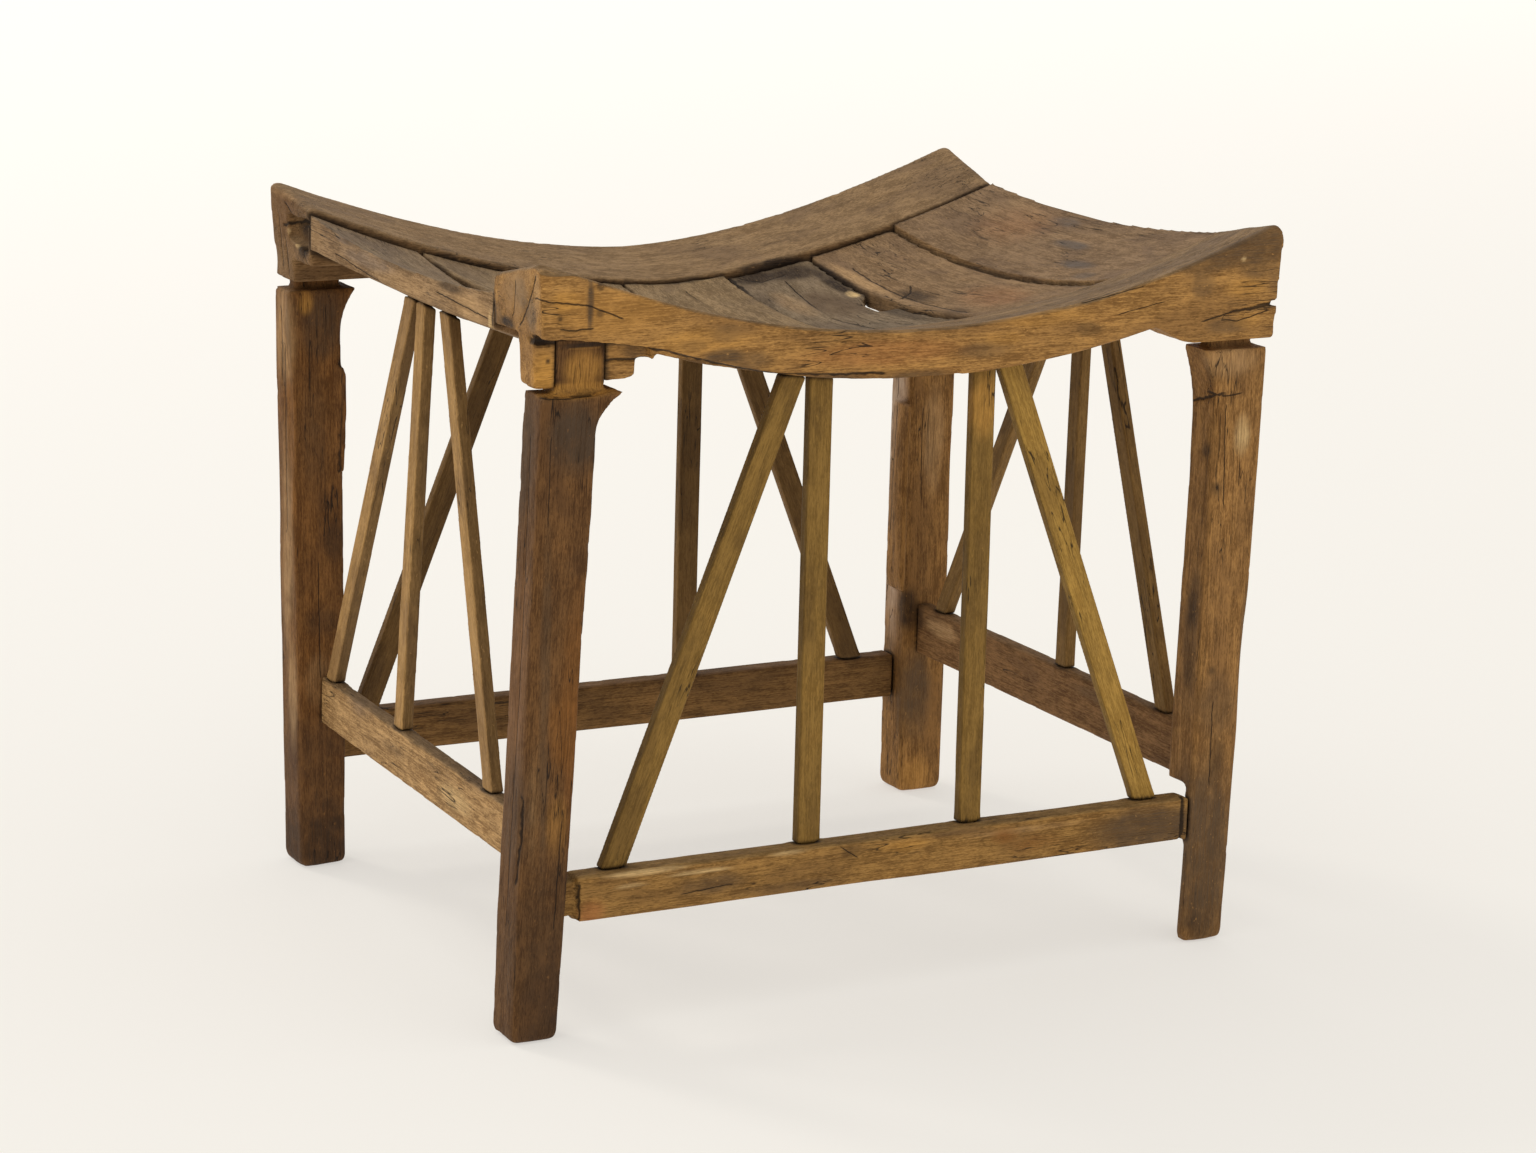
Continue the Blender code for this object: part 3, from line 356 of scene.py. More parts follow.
# Cracks: radius, the axis they are cut along, and the points they pass
CRACKS = {
    "seat_rail_front": (
        (0.45, "Y", ((-206, -170, 369), (-201.5, -170, 368), (-183, -170, 365.6), (-166, -170, 359))),
        (0.45, "Y", ((-194, -170, 354.4), (-188, -170, 353.6), (-182, -170, 354.2))),
        # Painted shadow under the lip of the broken cheek, and painted shade in the slit over the horn
        # on the end face
        (1.60, "Y", ((-208, -161, 348.4), (-195, -161, 346.8))),
        (1.20, "X", ((-206, -165, 349.2), (-206, -159, 350.0))),
        # The split where the sliver broke away: a crack line that is also painted shade under its step
        (0.55, "Y", ((-196, -168, 348.6), (-168, -168, 345), (-140, -168, 340.6))),
        (0.70, "Y", ((-169, -160, 336.6), (-144, -160, 335.8))),
        # The same split further on: crack lines that are also painted shade under the step
        (0.60, "Y", ((-140, -168, 340.6), (-127, -167, 336.4), (-103, -167, 330), (-78, -167, 325))),
        (0.60, "Y", ((-78, -167, 325), (-46, -167, 322.8), (-20, -167, 322))),
        (1.20, "Y", ((217, -168, 345.6), (200, -168, 343.8))),
        (0.80, "Y", ((200, -168, 343.8), (184, -168, 341.7))),
        (0.45, "Y", ((184, -168, 341.7), (169, -168, 338.4))),
        (0.35, "Y", ((205, -170, 341), (188, -170, 337), (180, -170, 338))),
        (0.25, "Y", ((96, -170, 352), (112, -170, 355), (128, -170, 358))),
        (0.25, "Y", ((118, -170, 345), (140, -170, 349))),
        (0.55, "X", ((-207, -164, 378), (-207, -156, 366), (-207, -147, 355))),
        (0.40, "X", ((-207, -142, 372), (-207, -138, 358))),
        (0.50, "X", ((-206, -164, 346), (-206, -162, 334))),
    ),
    "seat_rail_back": (
        (0.60, "X", ((-206, 147, 368), (-206, 141, 364))),
        (0.90, "X", ((-205, 151, 357), (-203, 140, 360), (-205, 118, 361))),
        (0.45, "X", ((-206, 129, 349), (-206, 122, 338))),
        (0.40, "X", ((-206, 160, 361), (-206, 158, 336))),
        (0.40, "X", ((-206, 152, 348), (-206, 150, 332))),
    ),
    "leg_front_left": (
        (0.25, "Y", ((-199, -168, 300), (-200, -168, 262))),
        (0.90, "X", ((-211, -165, 124), (-211, -166, 104), (-211, -164, 84))),
        (0.30, "Y", ((-190, -168, 110), (-193, -168, 60))),
        (0.70, "Y", ((-206, -168, 322), (-190, -168, 321), (-172, -168, 323))),
        (0.35, "X", ((-208, -156, 300), (-208, -157, 180), (-208, -155, 60))),
    ),
    "leg_back_left": (
        (0.80, "Y", ((-177.6, 146, 281), (-178.6, 146, 224))),
        (0.30, "Y", ((-190, 146, 170), (-189, 146, 110))),
        (0.40, "X", ((-207, 152, 290), (-207, 154, 190))),
        (0.50, "X", ((-207, 157, 310), (-207, 156, 270))),
    ),
    "leg_back_right": (
        (0.45, "X", ((180, 160, 270), (180, 157, 200), (180, 158, 130))),
        (0.35, "X", ((180, 152, 230), (180, 153, 160))),
        (0.30, "Y", ((189, 145, 230), (190, 145, 180))),
    ),
    "leg_front_right": (
        (0.80, "X", ((180, -167, 298), (180, -158, 295), (180, -148, 292))),
        (0.45, "Y", ((180, -167, 298.5), (184, -167, 296.8), (194, -167, 298))),
        (0.70, "Y", ((181.5, -156, 200), (182.0, -156, 178), (181.6, -154, 120))),
        (0.35, "Y", ((190, -168, 130), (191, -168, 90))),
        (0.35, "Y", ((187, -168, 290), (189, -168, 240))),
    ),
    "stretcher_front": (
        (0.30, "Y", ((-120, -167, 66), (-96, -167, 67.5))),
        (0.30, "Y", ((-30, -167, 78), (-24, -167, 74))),
        (0.90, "Y", ((-179, -167, 76), (-179, -167, 54))),
        (1.20, "Y", ((175, -167, 80), (175, -167, 56))),
    ),
    "stretcher_left": (
        (0.30, "X", ((-214, -90, 98), (-214, -40, 99))),
        (0.30, "X", ((-214, 10, 108), (-214, 60, 107))),
    ),
    "end_board_left": (
        (0.90, "X", ((-206, -115, 357), (-206, -112, 338))),
        (0.40, "X", ((-206, -50, 353), (-206, -106, 350))),
        (0.35, "X", ((-210, 80, 352), (-210, 20, 346))),
    ),
    "end_board_right": (
        (0.90, "Z", ((176, -116.5, 368), (194, -116, 372), (214, -116, 378))),
    ),
    "slat_3": (
        # The seam to slat 4: a dark line that is a joint and painted shade in the gap
        (1.40, "Z", ((41.6, 122, 322), (41.6, 60, 314), (41.6, 5, 312))),
        (0.35, "Z", ((10, 100, 321), (12, 20, 317))),
    ),
    "slat_4": (
        # The seam to slat 3: a dark line that is a joint and painted shade in the gap
        (1.40, "Z", ((43.8, 122, 322), (43.8, 60, 314), (43.8, 5, 312))),
        (0.45, "Z", ((50, 112, 321), (58, 104, 320), (72, 106, 322))),
        (0.50, "Z", ((70, 96, 320), (62, 30, 318), (66, -30, 320))),
    ),
    "slat_5": (
        (0.50, "Z", ((106, 84, 328), (103, 30, 324), (102, -20, 323), (100, -50, 325))),
        (0.60, "Z", ((113, 34, 325), (108, 26, 324), (101, 22, 322))),
    ),
}

# Colours of the stains, as 0 to 255
SOOT = (44, 32, 22)
SHADE = (86, 66, 45)
GREY = (100, 87, 72)
ASH = (122, 106, 92)
SLATE = (72, 55, 39)
BLUE = (82, 74, 68)
GOLD = (190, 138, 64)
TAN = (178, 142, 98)
PALE = (206, 174, 122)
RUST = (150, 92, 50)
RUSSET = (118, 84, 54)
BISTRE = (98, 66, 36)
AMBER = (122, 78, 32)
AMBER_LIGHT = (176, 127, 62)
MAUVE = (168, 143, 120)
END = (140, 110, 74)

# Stains: middle, reach along X, Y and Z, colour and strength
STAINS = {
    "seat_rail_front": (
        ((-170, -170, 362), (46, 8, 16), AMBER_LIGHT, 0.45),
        ((-181.3, -170, 366), (2.6, 5, 17), SHADE, 1.0),
        ((-176, -170, 374), (3, 3, 3), SOOT, 0.7),
        ((-197, -170, 360), (2.4, 3, 2), SOOT, 0.7),
        ((-176, -170, 361), (3, 3, 2.6), SOOT, 0.6),
        ((195, -170, 378), (34, 9, 15), SHADE, 0.75),
        ((165, -170, 368), (26, 9, 8), SHADE, 0.65),
        ((166, -170, 357), (10, 8, 10), SHADE, 0.5),
        ((210, -158, 366), (8, 30, 26), SHADE, 0.5),
        ((183, -170, 335), (18, 8, 6), SHADE, 0.6),
        ((176, -170, 379), (12, 6, 4), SOOT, 0.4),
        ((198, -170, 364), (14, 8, 9), SLATE, 0.6),
        # Painted shade in a hollow of the end face and in the slit over the horn, and a painted shadow
        # under the rail's lower arris
        ((-206, -131, 352), (5, 10, 4.5), SOOT, 1.0),
        ((-201, -162, 347.8), (11, 8, 3.4), SOOT, 1.0),
        ((-166, -163, 344.5), (34, 6, 2.4), SOOT, 0.9),
        ((-207, -148, 370), (3, 9, 10), GREY, 0.6),
        ((-207, -159, 360), (3, 8, 12), GREY, 0.6),
        ((-208, -166, 372), (3, 5, 16), TAN, 0.5),
        ((-108, -170, 348), (18, 6, 6), SHADE, 0.45),
        ((186, -170, 372), (32, 8, 12), SLATE, 0.4),
        ((190, -170, 369), (2, 3, 1.6), PALE, 0.7),
        ((192, -170, 354), (16, 6, 7), GOLD, 0.4),
        ((-95, -170, 333), (17, 8, 7), SHADE, 0.6),
        # This line and the next three: painted shade on the recessed face below the split, where the
        # sliver broke away
        ((-130, -165, 331), (26, 4.5, 9), SHADE, 0.75),
        ((-95, -165, 324), (26, 4.5, 8), SHADE, 0.75),
        ((-52, -165, 320), (34, 4.5, 6), SHADE, 0.75),
        ((0, -165, 319), (34, 4.5, 6), SHADE, 0.7),
        ((-20, -170, 333), (60, 8, 9), RUST, 0.35),
        ((-110, -170, 337), (15, 6, 5), SHADE, 0.9),
        ((-126, -170, 343), (12, 5, 4), SHADE, 0.6),
        ((98, -170, 338), (12, 8, 5), SOOT, 0.45),
        ((37, -170, 331), (22, 8, 6), SHADE, 0.5),
        ((-120, -170, 345), (34, 8, 8), GOLD, 0.35),
        ((70, -170, 345), (40, 8, 6), GOLD, 0.3),
        ((-200, -162, 332), (9, 10, 15), GOLD, 0.8),
        ((-198, -160, 338), (1.8, 4, 1.8), SOOT, 0.9),
        ((-209, -145, 368), (5, 30, 26), END, 0.6),
        ((-206, -120, 352), (6, 8, 12), SHADE, 0.6),
        ((-207, -152, 362), (3, 6, 7), SHADE, 0.5),
        ((-152, -160, 340), (10, 5, 6), SHADE, 0.6),
        ((-194, -170, 368), (10, 6, 7), GOLD, 0.5),
        ((48, -170, 336), (16, 6, 5), GOLD, 0.25),
        ((194, -170, 337), (11, 6, 6), GOLD, 0.25),
        ((-109, -170, 347), (10, 6, 6), SHADE, 0.3),
    ),
    "seat_rail_back": (
        # Painted shade in the broken recess of the rail's end
        ((-202, 135, 357), (7, 14, 9), SOOT, 1.0),
        ((-206, 135, 349), (3, 5, 3), PALE, 0.8),
        # Painted shade in the lower part of the broken recess
        ((-205, 127, 347), (7, 10, 6), SOOT, 0.9),
        ((-206, 147, 354), (2.5, 3, 2.5), PALE, 0.6),
        # A pale line along the end's top arris: worn edge and painted highlight
        ((-207, 150, 373), (2.5, 26, 2.5), TAN, 0.5),
        ((-211, 152, 360), (8, 30, 34), BISTRE, 0.75),
        ((-206, 118, 386), (14, 3, 5), PALE, 0.6),
        ((80, 130, 352), (50, 20, 10), RUST, 0.25),
        # Dark band on the face above slat 4, where the rail stands proud of the slats: dirt and painted
        # shade
        ((72, 117, 326), (33, 4, 8), SOOT, 1.0),
    ),
    "leg_front_left": (
        ((-186, -168, 302), (20, 8, 24), SLATE, 1.0),
        ((-168, -168, 170), (4, 6, 90), SHADE, 0.5),
        ((-200, -168, 170), (4, 5, 120), SHADE, 0.55),
        ((-184, -168, 120), (7, 6, 60), RUST, 0.12),
        ((-190, -160, 46), (38, 34, 72), SOOT, 0.5),
        ((-168, -168, 278), (9, 8, 30), SLATE, 0.8),
        ((-183, -168, 240), (10, 8, 10), SOOT, 0.35),
        ((-208, -152, 300), (6, 18, 60), SLATE, 0.9),
        ((-208, -153, 140), (7, 16, 150), RUSSET, 0.6),
        # Painted light on the top face of the leg
        ((-182, -161, 323), (30, 10, 5), GOLD, 0.7),
        # Painted shadow below the rail's lower arris
        ((-180, -160, 344.5), (18, 5, 2.2), SOOT, 0.9),
        ((-192, -168, 110), (8, 6, 20), GOLD, 0.2),
        ((-210, -158, 116), (8, 18, 44), SLATE, 0.6),
        ((-190, -168, 158), (12, 6, 26), AMBER, 0.5),
        ((-183, -168, 170), (11, 6, 76), AMBER, 0.5),
        ((-205, -160, 120), (5, 12, 60), TAN, 0.3),
        ((-198, -160, 6), (26, 30, 12), SOOT, 0.35),
        ((-179, -160, 333), (14, 9, 12), GOLD, 0.55),
    ),
    "leg_back_left": (
        ((-206, 153, 298), (7, 16, 36), TAN, 0.5),
        ((-206, 153, 160), (5, 14, 110), TAN, 0.65),
        ((-188, 146, 304), (18, 8, 26), SLATE, 0.7),
        ((-197, 146, 315), (6, 5, 9), GOLD, 0.55),
        ((-181, 142, 184), (8, 6, 16), SOOT, 0.5),
        ((-188, 141, 139), (14, 6, 11), SOOT, 0.45),
        ((-190, 140, 106), (11, 6, 20), TAN, 0.25),
        ((-203, 148, 96), (5, 8, 40), TAN, 0.5),
        ((-207, 147, 301), (4, 6, 24), SHADE, 0.5),
        ((-178.5, 147, 252), (1.3, 6, 28), SOOT, 0.8),
        ((-187, 150, 14), (34, 34, 34), SOOT, 0.75),
        ((-187, 150, 60), (34, 34, 50), SOOT, 0.42),
        ((-192, 146, 240), (14, 6, 50), SHADE, 0.4),
        ((-186, 146, 206), (14, 6, 12), SOOT, 0.4),
    ),
    "leg_front_right": (
        ((180, -160, 268), (3, 6, 6), SOOT, 0.7),
        ((180, -157, 187), (3, 8, 24), SOOT, 0.6),
        ((188, -167, 150), (4, 5, 4), SOOT, 0.6),
        ((172, -167, 307), (10, 8, 14), SOOT, 0.5),
        ((198, -168, 276), (7, 5, 15), PALE, 0.55),
        ((188, -166, 316), (22, 10, 12), TAN, 0.4),
        ((192, -166, 130), (17, 10, 24), SHADE, 0.5),
        ((192, -160, 14), (22, 22, 28), SOOT, 0.5),
        ((184, -167, 248), (6, 5, 6), SOOT, 0.45),
        ((190, -162, 56), (26, 24, 66), SHADE, 0.9),
        ((195, -167, 100), (8, 6, 22), SOOT, 0.45),
        ((181, -155, 160), (4, 9, 44), SOOT, 0.55),
        ((196, -167, 40), (12, 8, 30), SHADE, 0.55),
        ((196, -168, 29), (5, 4, 1.4), PALE, 0.5),
        ((189, -165, 10), (12, 8, 10), SOOT, 0.35),
        ((207, -166, 165), (4, 6, 40), SHADE, 0.6),
    ),
    "leg_back_right": (
        ((192, 145, 10), (16, 12, 16), AMBER_LIGHT, 0.5),
        ((180, 158, 190), (6, 15, 130), MAUVE, 1.0),
        ((184, 144, 112), (9, 9, 18), SOOT, 0.8),
        ((190, 145, 60), (16, 8, 44), SHADE, 0.95),
        ((197, 143, 213), (10, 6, 44), TAN, 0.45),
    ),
    "stretcher_front": (
        ((-142, -167, 80), (30, 5, 2.2), PALE, 0.8),
        ((-112, -167, 76.5), (26, 5, 1.4), PALE, 0.7),
        ((-150, -167, 74), (14, 5, 1.2), PALE, 0.6),
        ((-62, -167, 80), (16, 5, 1.8), PALE, 0.5),
        ((-104, -167, 69), (26, 6, 7), SHADE, 0.65),
        ((-26, -167, 76), (9, 6, 6), SOOT, 0.4),
        ((34, -167, 79), (30, 6, 2.4), SHADE, 0.6),
        ((-172, -168, 62), (11, 8, 10), RUST, 0.6),
        ((145, -168, 67), (24, 8, 4), GOLD, 0.5),
        ((157, -168, 72), (12, 8, 5), SOOT, 0.4),
        ((80, -168, 76), (60, 6, 3), TAN, 0.4),
        ((-60, -168, 62), (50, 6, 5), SHADE, 0.45),
        ((152, -164, 68), (46, 16, 16), SHADE, 0.9),
        ((84, -168, 68), (26, 6, 8), AMBER, 0.6),
        ((5, -168, 76), (24, 6, 5), GOLD, 0.5),
        ((65, -168, 74), (14, 6, 7), AMBER, 0.8),
    ),
    "stretcher_left": (
        ((-213, -20, 106), (5, 3.5, 3), SOOT, 0.8),
        ((-213, -70, 104), (5, 50, 9), PALE, 0.5),
        ((-213, 60, 108), (5, 60, 8), TAN, 0.4),
        ((-198, -58, 94), (5, 30, 8), PALE, 0.4),
        ((-195, 30, 97), (5, 26, 5), SHADE, 0.4),
        ((-194, 84, 107), (5, 30, 7), ASH, 0.3),
    ),
    "slat_4": (
        # This line and the next: painted shade in the gap at the back rail, where the end of slat 4 is
        # broken
        ((56, 110, 321), (18, 12, 9), SOOT, 0.9),
        ((80, 106, 323), (20, 15, 9), SOOT, 0.9),
        ((74, 52, 315), (18, 40, 10), SHADE, 0.6),
        ((57, 64, 314), (9, 34, 8), TAN, 0.3),
        ((60, -20, 314), (30, 40, 14), GREY, 0.5),
        # This line and the next: painted shade in the gap between slats 4 and 5
        ((90, 82, 321), (5, 36, 8), SOOT, 0.9),
        ((89, 0, 317), (6, 40, 10), SOOT, 0.6),
        ((90, 57, 319), (4, 8, 5), PALE, 0.9),
    ),
    "slat_5": (
        # Painted shade on the side wall of slat 5 in the gap to slat 4
        ((95, 92, 321), (2.5, 40, 10), SOOT, 1.0),
        ((100, 60, 326), (5, 60, 8), TAN, 0.6),
        ((107, 18, 324), (9, 24, 7), SOOT, 0.75),
        ((99, -38, 325), (8, 18, 7), SHADE, 0.75),
        ((140, 88, 326), (20, 34, 10), RUST, 0.4),
        ((128, -40, 328), (24, 50, 12), RUST, 0.25),
    ),
    "end_board_right": (
        ((204, 22, 359), (6, 18, 8), BLUE, 0.6),
        ((186, -12, 353), (6, 24, 8), BLUE, 0.7),
        ((168, -46, 349), (6, 24, 8), BLUE, 0.75),
        ((156, -73, 347), (6, 15, 8), BLUE, 0.5),
        ((176, 50, 358), (44, 44, 16), RUST, 0.2),
        ((197, 70, 358), (20, 34, 10), TAN, 0.14),
        ((205, -108, 376), (14, 5, 8), SOOT, 0.4),
    ),
    "end_board_left": (
        ((-206, 106, 358), (4, 9, 9), END, 0.6),
        ((-206, -64, 358), (3, 22, 3.5), SOOT, 0.8),
        ((-206, 69, 361), (3, 16, 3), ASH, 0.7),
        ((-206, 60, 361), (3, 24, 3), SHADE, 0.8),
        ((-206, 6, 359), (3, 32, 3), SHADE, 0.6),
        ((-206, 40, 355), (4, 44, 6), ASH, 0.5),
        ((-209, -10, 350), (6, 60, 8), TAN, 0.45),
        ((-206, -90, 352), (5, 30, 9), TAN, 0.75),
        ((-206, -111, 346), (4, 2.6, 12), PALE, 0.6),
    ),
    "stretcher_right": (
        ((189, 112, 106), (5, 24, 7), TAN, 0.6),
        ((190, 140, 108), (8, 9, 12), SOOT, 0.6),
        ((189, -60, 108), (4, 40, 5), SHADE, 0.5),
    ),
    "strut_front_upright_right": (
        ((45, -158, 300), (10, 10, 22), GOLD, 0.5),
    ),
}


# Wear

# Between the two values of a STEP or a FADE the effect changes smoothly. Distances of cracks are
# millimetres, and other distances are metres unless it says otherwise.

# Reach of a dent or stain, as a share of its ellipsoid: full inside the first, gone at the second
BLOB_FADE = (0.35, 1.0)

# How far off a face may lie from a crack's place in depth, and how wide its line and groove reach
CRACK_DEPTH_FADE = (5.0, 8.0)
SPLIT_FADE = (2.0, 3.2)
GROOVE_FADE = (0.5, 1.7)
GROOVE_DEEPEST = 1.1

# What a point away from every crack holds, in radii and in millimetres
NO_CRACK_RADII = 9.0
NO_CRACK_AWAY = 99.0

# How far, in millimetres, smoothing draws a point in or out that counts as an edge or a hollow
EDGE_STEP = (0.10, 0.55)
HOLLOW_STEP = (0.10, 0.60)

# Least share of an edge's rubbing, from place to place and where another piece covers it
RUB_LEAST = 0.30
RUB_COVERED = 0.25

# Values of the noise that chips and hollows start from, and how much a chip looks like an edge
CHIP_STEP = (0.66, 0.74)
SAG_STEP = (0.35, 1.0)
CHIP_EDGE = 0.4

# Moves each piece to its own part of the wood's noise
GRAIN_SHIFT = 0.37

# The rim of a foot: the points that belong to it, how high its rounding goes and how far it is
# drawn in, as a share of the distance to the foot's middle
FOOT_HEIGHT = 0.012
FOOT_FADE = (0.0, 0.006)
FOOT_DRAW = 0.07

# Slopes that weather as a top does, and how ragged the limit is
TOP_STEP = (0.30, 0.70)
TOP_RAGGED = 0.25

# How squarely a face has to look left or forward to count as that side for its painted light and shade
PAINTED_SIDE_STEP = (0.55, 0.80)

# A stain's strength varies from the first share upwards, by the second times the noise
STAIN_SHARES = (0.55, 0.6)
FLECK_SHARE = 0.5
TINY = 1e-6

# Distance to other pieces: the farthest that counts, the step through their points, where cover
# ends, and how wide the dirt and painted shade in a seam is and how ragged
APART_REACH = 0.008
APART_EVERY = 2
COVER_STEP = (0.0012, 0.0060)
DIRT_AND_SHADE_START = 0.0008
DIRT_AND_SHADE_END = 0.0026
DIRT_AND_SHADE_END_SEAMED = 0.0042
DIRT_AND_SHADE_SHARES = (0.75, 0.90)


def at_least(low, share):
    """Maps 0 to 1 onto low to 1."""
    return low + (1 - low) * share


def blob(points, middle, reach):
    """One in the middle of an ellipsoid and zero outside it."""
    away = np.linalg.norm((points / MM - np.array(middle)) / np.array(reach), axis=1)
    return 1 - step(away, *BLOB_FADE)


def cracked(points, node):
    """How far each point lies across the nearest crack, in that crack's radii and with a sign,
    how surely the crack passes there, and how deep its groove is in millimetres.
    """
    across = np.full(len(points), NO_CRACK_RADII)
    nearest = np.full(len(points), NO_CRACK_AWAY)
    split = np.zeros(len(points))
    groove = np.zeros(len(points))
    for radius, axis, corners in CRACKS.get(node, ()):
        cut = "XYZ".index(axis)
        kept = [i for i in range(3) if i != cut]
        corners = np.array(corners, float)
        for start, end in zip(corners, corners[1:]):
            run = (end - start)[kept]
            offset = points[:, kept] / MM - start[kept]
            along = np.clip(offset @ run / (run @ run), 0, 1)
            away = np.linalg.norm(offset - along[:, None] * run, axis=1)
            side = (offset[:, 0] * run[1] - offset[:, 1] * run[0]) / np.linalg.norm(run)
            reached = 1 - step(np.abs(points[:, cut] / MM - start[cut]), *CRACK_DEPTH_FADE)
            closer = (away < nearest) & (reached > 0)
            across[closer] = side[closer] / radius
            split[closer] = (reached * (1 - step(away, *SPLIT_FADE)))[closer]
            nearest[closer] = away[closer]
            here = reached * (1 - step(away, *GROOVE_FADE)) * min(radius, GROOVE_DEEPEST)
            groove = np.maximum(groove, here)
    return across, split, groove


def round_foot(points):
    """Draws in the rim of a leg's foot."""
    foot = points[:, 2] < FOOT_HEIGHT
    away = points[foot, :2] - points[foot, :2].mean(axis=0)
    points[foot, :2] -= FOOT_DRAW * away * (1 - step(points[foot, 2], *FOOT_FADE))[:, None]


def wear(worn, node, number, covered):
    """Rubs down the edges and works chips, cracks, dents and the grain's ridges into the surface.

    Where another piece lies close, the surface is covered: its edges are rubbed less, and only a
    dent changes its faces.
    """
    settings = WEAR[kind_of(node, WEAR)]
    mesh = worn.data
    edges = read_edges(mesh)
    points = read_points(mesh)
    normals = read_normals(mesh)
    middle, axes = wood_frame(points)
    grain = (points - middle) @ axes + number * GRAIN_SHIFT
    soft = relaxed(points, edges, settings["rounds"])
    corner = ((points - soft) * normals).sum(axis=1) / MM
    edge = step(corner, *EDGE_STEP)
    hollow = step(-corner, *HOLLOW_STEP)

    bare = 1 - covered
    rub = settings["rub"] * at_least(RUB_LEAST, cloud(points, "rub", number))
    rub = rub * at_least(RUB_COVERED, bare)
    points = points + (soft - points) * rub[:, None]
    if node.startswith("leg"):
        round_foot(points)
    chips = edge * step(cloud(grain, "chips", number), *CHIP_STEP)
    ridges = cloud(grain, "ridges", number)
    hollows = cloud(grain, "hollows", number)
    across, split, groove = cracked(points, node)
    depth = settings["grain"] * ridges + settings["sag"] * step(hollows, *SAG_STEP)
    depth += settings["chip"] * chips
    depth += groove
    points = points - normals * (depth * bare * MM)[:, None]
    for where, reach, deep, way in DENTS.get(node, ()):
        push = np.array(way) / np.linalg.norm(way)
        points = points + push * (blob(points, where, reach) * deep * MM)[:, None]
    write_points(mesh, np.clip(points, CAD_LOW, CAD_HIGH))

    write_attribute(mesh, "grain", "FLOAT_VECTOR", grain)
    # Edges and chips, which the material lightens as rubbed wear and as a painted highlight
    write_attribute(mesh, "edge", "FLOAT", np.clip(edge + CHIP_EDGE * chips, 0, 1))
    write_attribute(mesh, "hollow", "FLOAT", hollow)
    write_attribute(mesh, "across", "FLOAT", across)
    write_attribute(mesh, "split", "FLOAT", split)


def weathered(normals, points, number):
    """How far the surface has turned grey-brown, which is most on top."""
    ragged = TOP_RAGGED * (cloud(points, "tops", number) - 0.5)
    return step(normals[:, 2] + ragged, *TOP_STEP)


def painted_side_shares(normals, node):
    """Painted light and shade: how light each point is painted for the side it lies on."""
    left, front = PAINTED_SIDE_LIGHT.get(kind_of(node, PAINTED_SIDE_LIGHT), UNPAINTED_SIDE_LIGHT)
    share = 1 + (left - 1) * step(-normals[:, 0], *PAINTED_SIDE_STEP)
    return share + (front - 1) * step(-normals[:, 1], *PAINTED_SIDE_STEP)


def dirt_and_shade_in_seams(apart, points, node, number):
    """How dirty each point is, and how darkened by painted shade, which is most in the seams between
    pieces.
    """
    least, varied = DIRT_AND_SHADE_SHARES
    ragged = least + varied * cloud(points, "seams", number)
    end = DIRT_AND_SHADE_END_SEAMED if kind_of(node, SEAMED) else DIRT_AND_SHADE_END
    return 1 - step(apart * ragged, DIRT_AND_SHADE_START, end)


def add_stains(worn, node, number):
    """Writes the colour and strength of the stains on each point."""
    points = read_points(worn.data)
    colour = np.zeros((len(points), 4))
    ragged = cloud(points, "stains", number) + FLECK_SHARE * cloud(points, "flecks", number)
    least, varied = STAIN_SHARES
    for middle, reach, paint, strength in STAINS.get(node, ()):
        share = np.clip(blob(points, middle, reach) * (least + varied * ragged), 0, 1) * strength
        rest = colour[:, 3] * (1 - share)
        total = np.maximum(rest + share, TINY)
        for i, value in enumerate(linear(paint)):
            colour[:, i] = (colour[:, i] * rest + value * share) / total
        colour[:, 3] = rest + share
    write_attribute(worn.data, "stain", "FLOAT_COLOR", colour)


def around(points):
    """The corners of the box about some points, with the farthest distance that counts added."""
    return points.min(axis=0) - APART_REACH, points.max(axis=0) + APART_REACH


def within(points, low, high):
    return ((points > low) & (points < high)).all(axis=1)


def apartness(clouds, node):
    """How far each point of a piece lies from the nearest other piece, up to APART_REACH."""
    points = clouds[node]
    box = around(points)
    near = [other[within(other, *box)][::APART_EVERY] for name, other in clouds.items() if name != node]
    near = np.concatenate(near)
    apart = np.full(len(points), APART_REACH)
    if len(near):
        tree = KDTree(len(near))
        for i, point in enumerate(near):
            tree.insert(point, i)
        tree.balance()
        for i in np.flatnonzero(within(points, *around(near))):
            apart[i] = min(APART_REACH, tree.find(points[i])[2])
    return apart


# Material

# Layers of noise in the wood: the length and width of their streaks in millimetres, and the
# noise's detail, roughness and distortion
LAYERS = {
    "fibres": (16, 0.8, 3.0, 0.60, 0.2),
    "fuzz": (2.6, 0.45, 2.0, 0.60, 0.0),
    "bands": (90, 6.0, 2.0, 0.5, 0.8),
    "mottle": (11, 5.5, 4.0, 0.65, 0.4),
    "blotches": (60, 26, 4.0, 0.60, 0.5),
    "pores": (5.0, 0.40, 2.0, 0.6, 0.0),
    "checks": (60, 4.0, 2.0, 0.5, 0.5),
    "gates": (70, 30, 1.0, 0.55, 0.0),
    "specks": (3.2, 1.5, 2.0, 0.5, 0.0),
}

# How much each layer counts in the light and dark of the wood, and the range that is used
TONE_LAYERS = {"fibres": 0.26, "fuzz": 0.24, "bands": 0.14, "mottle": 0.20, "blotches": 0.16}
TONE_RANGE = (0.36, 0.64)

# Part of a colour ramp that its stops are spread over
RAMP_START = 0.22
RAMP_LENGTH = 0.56

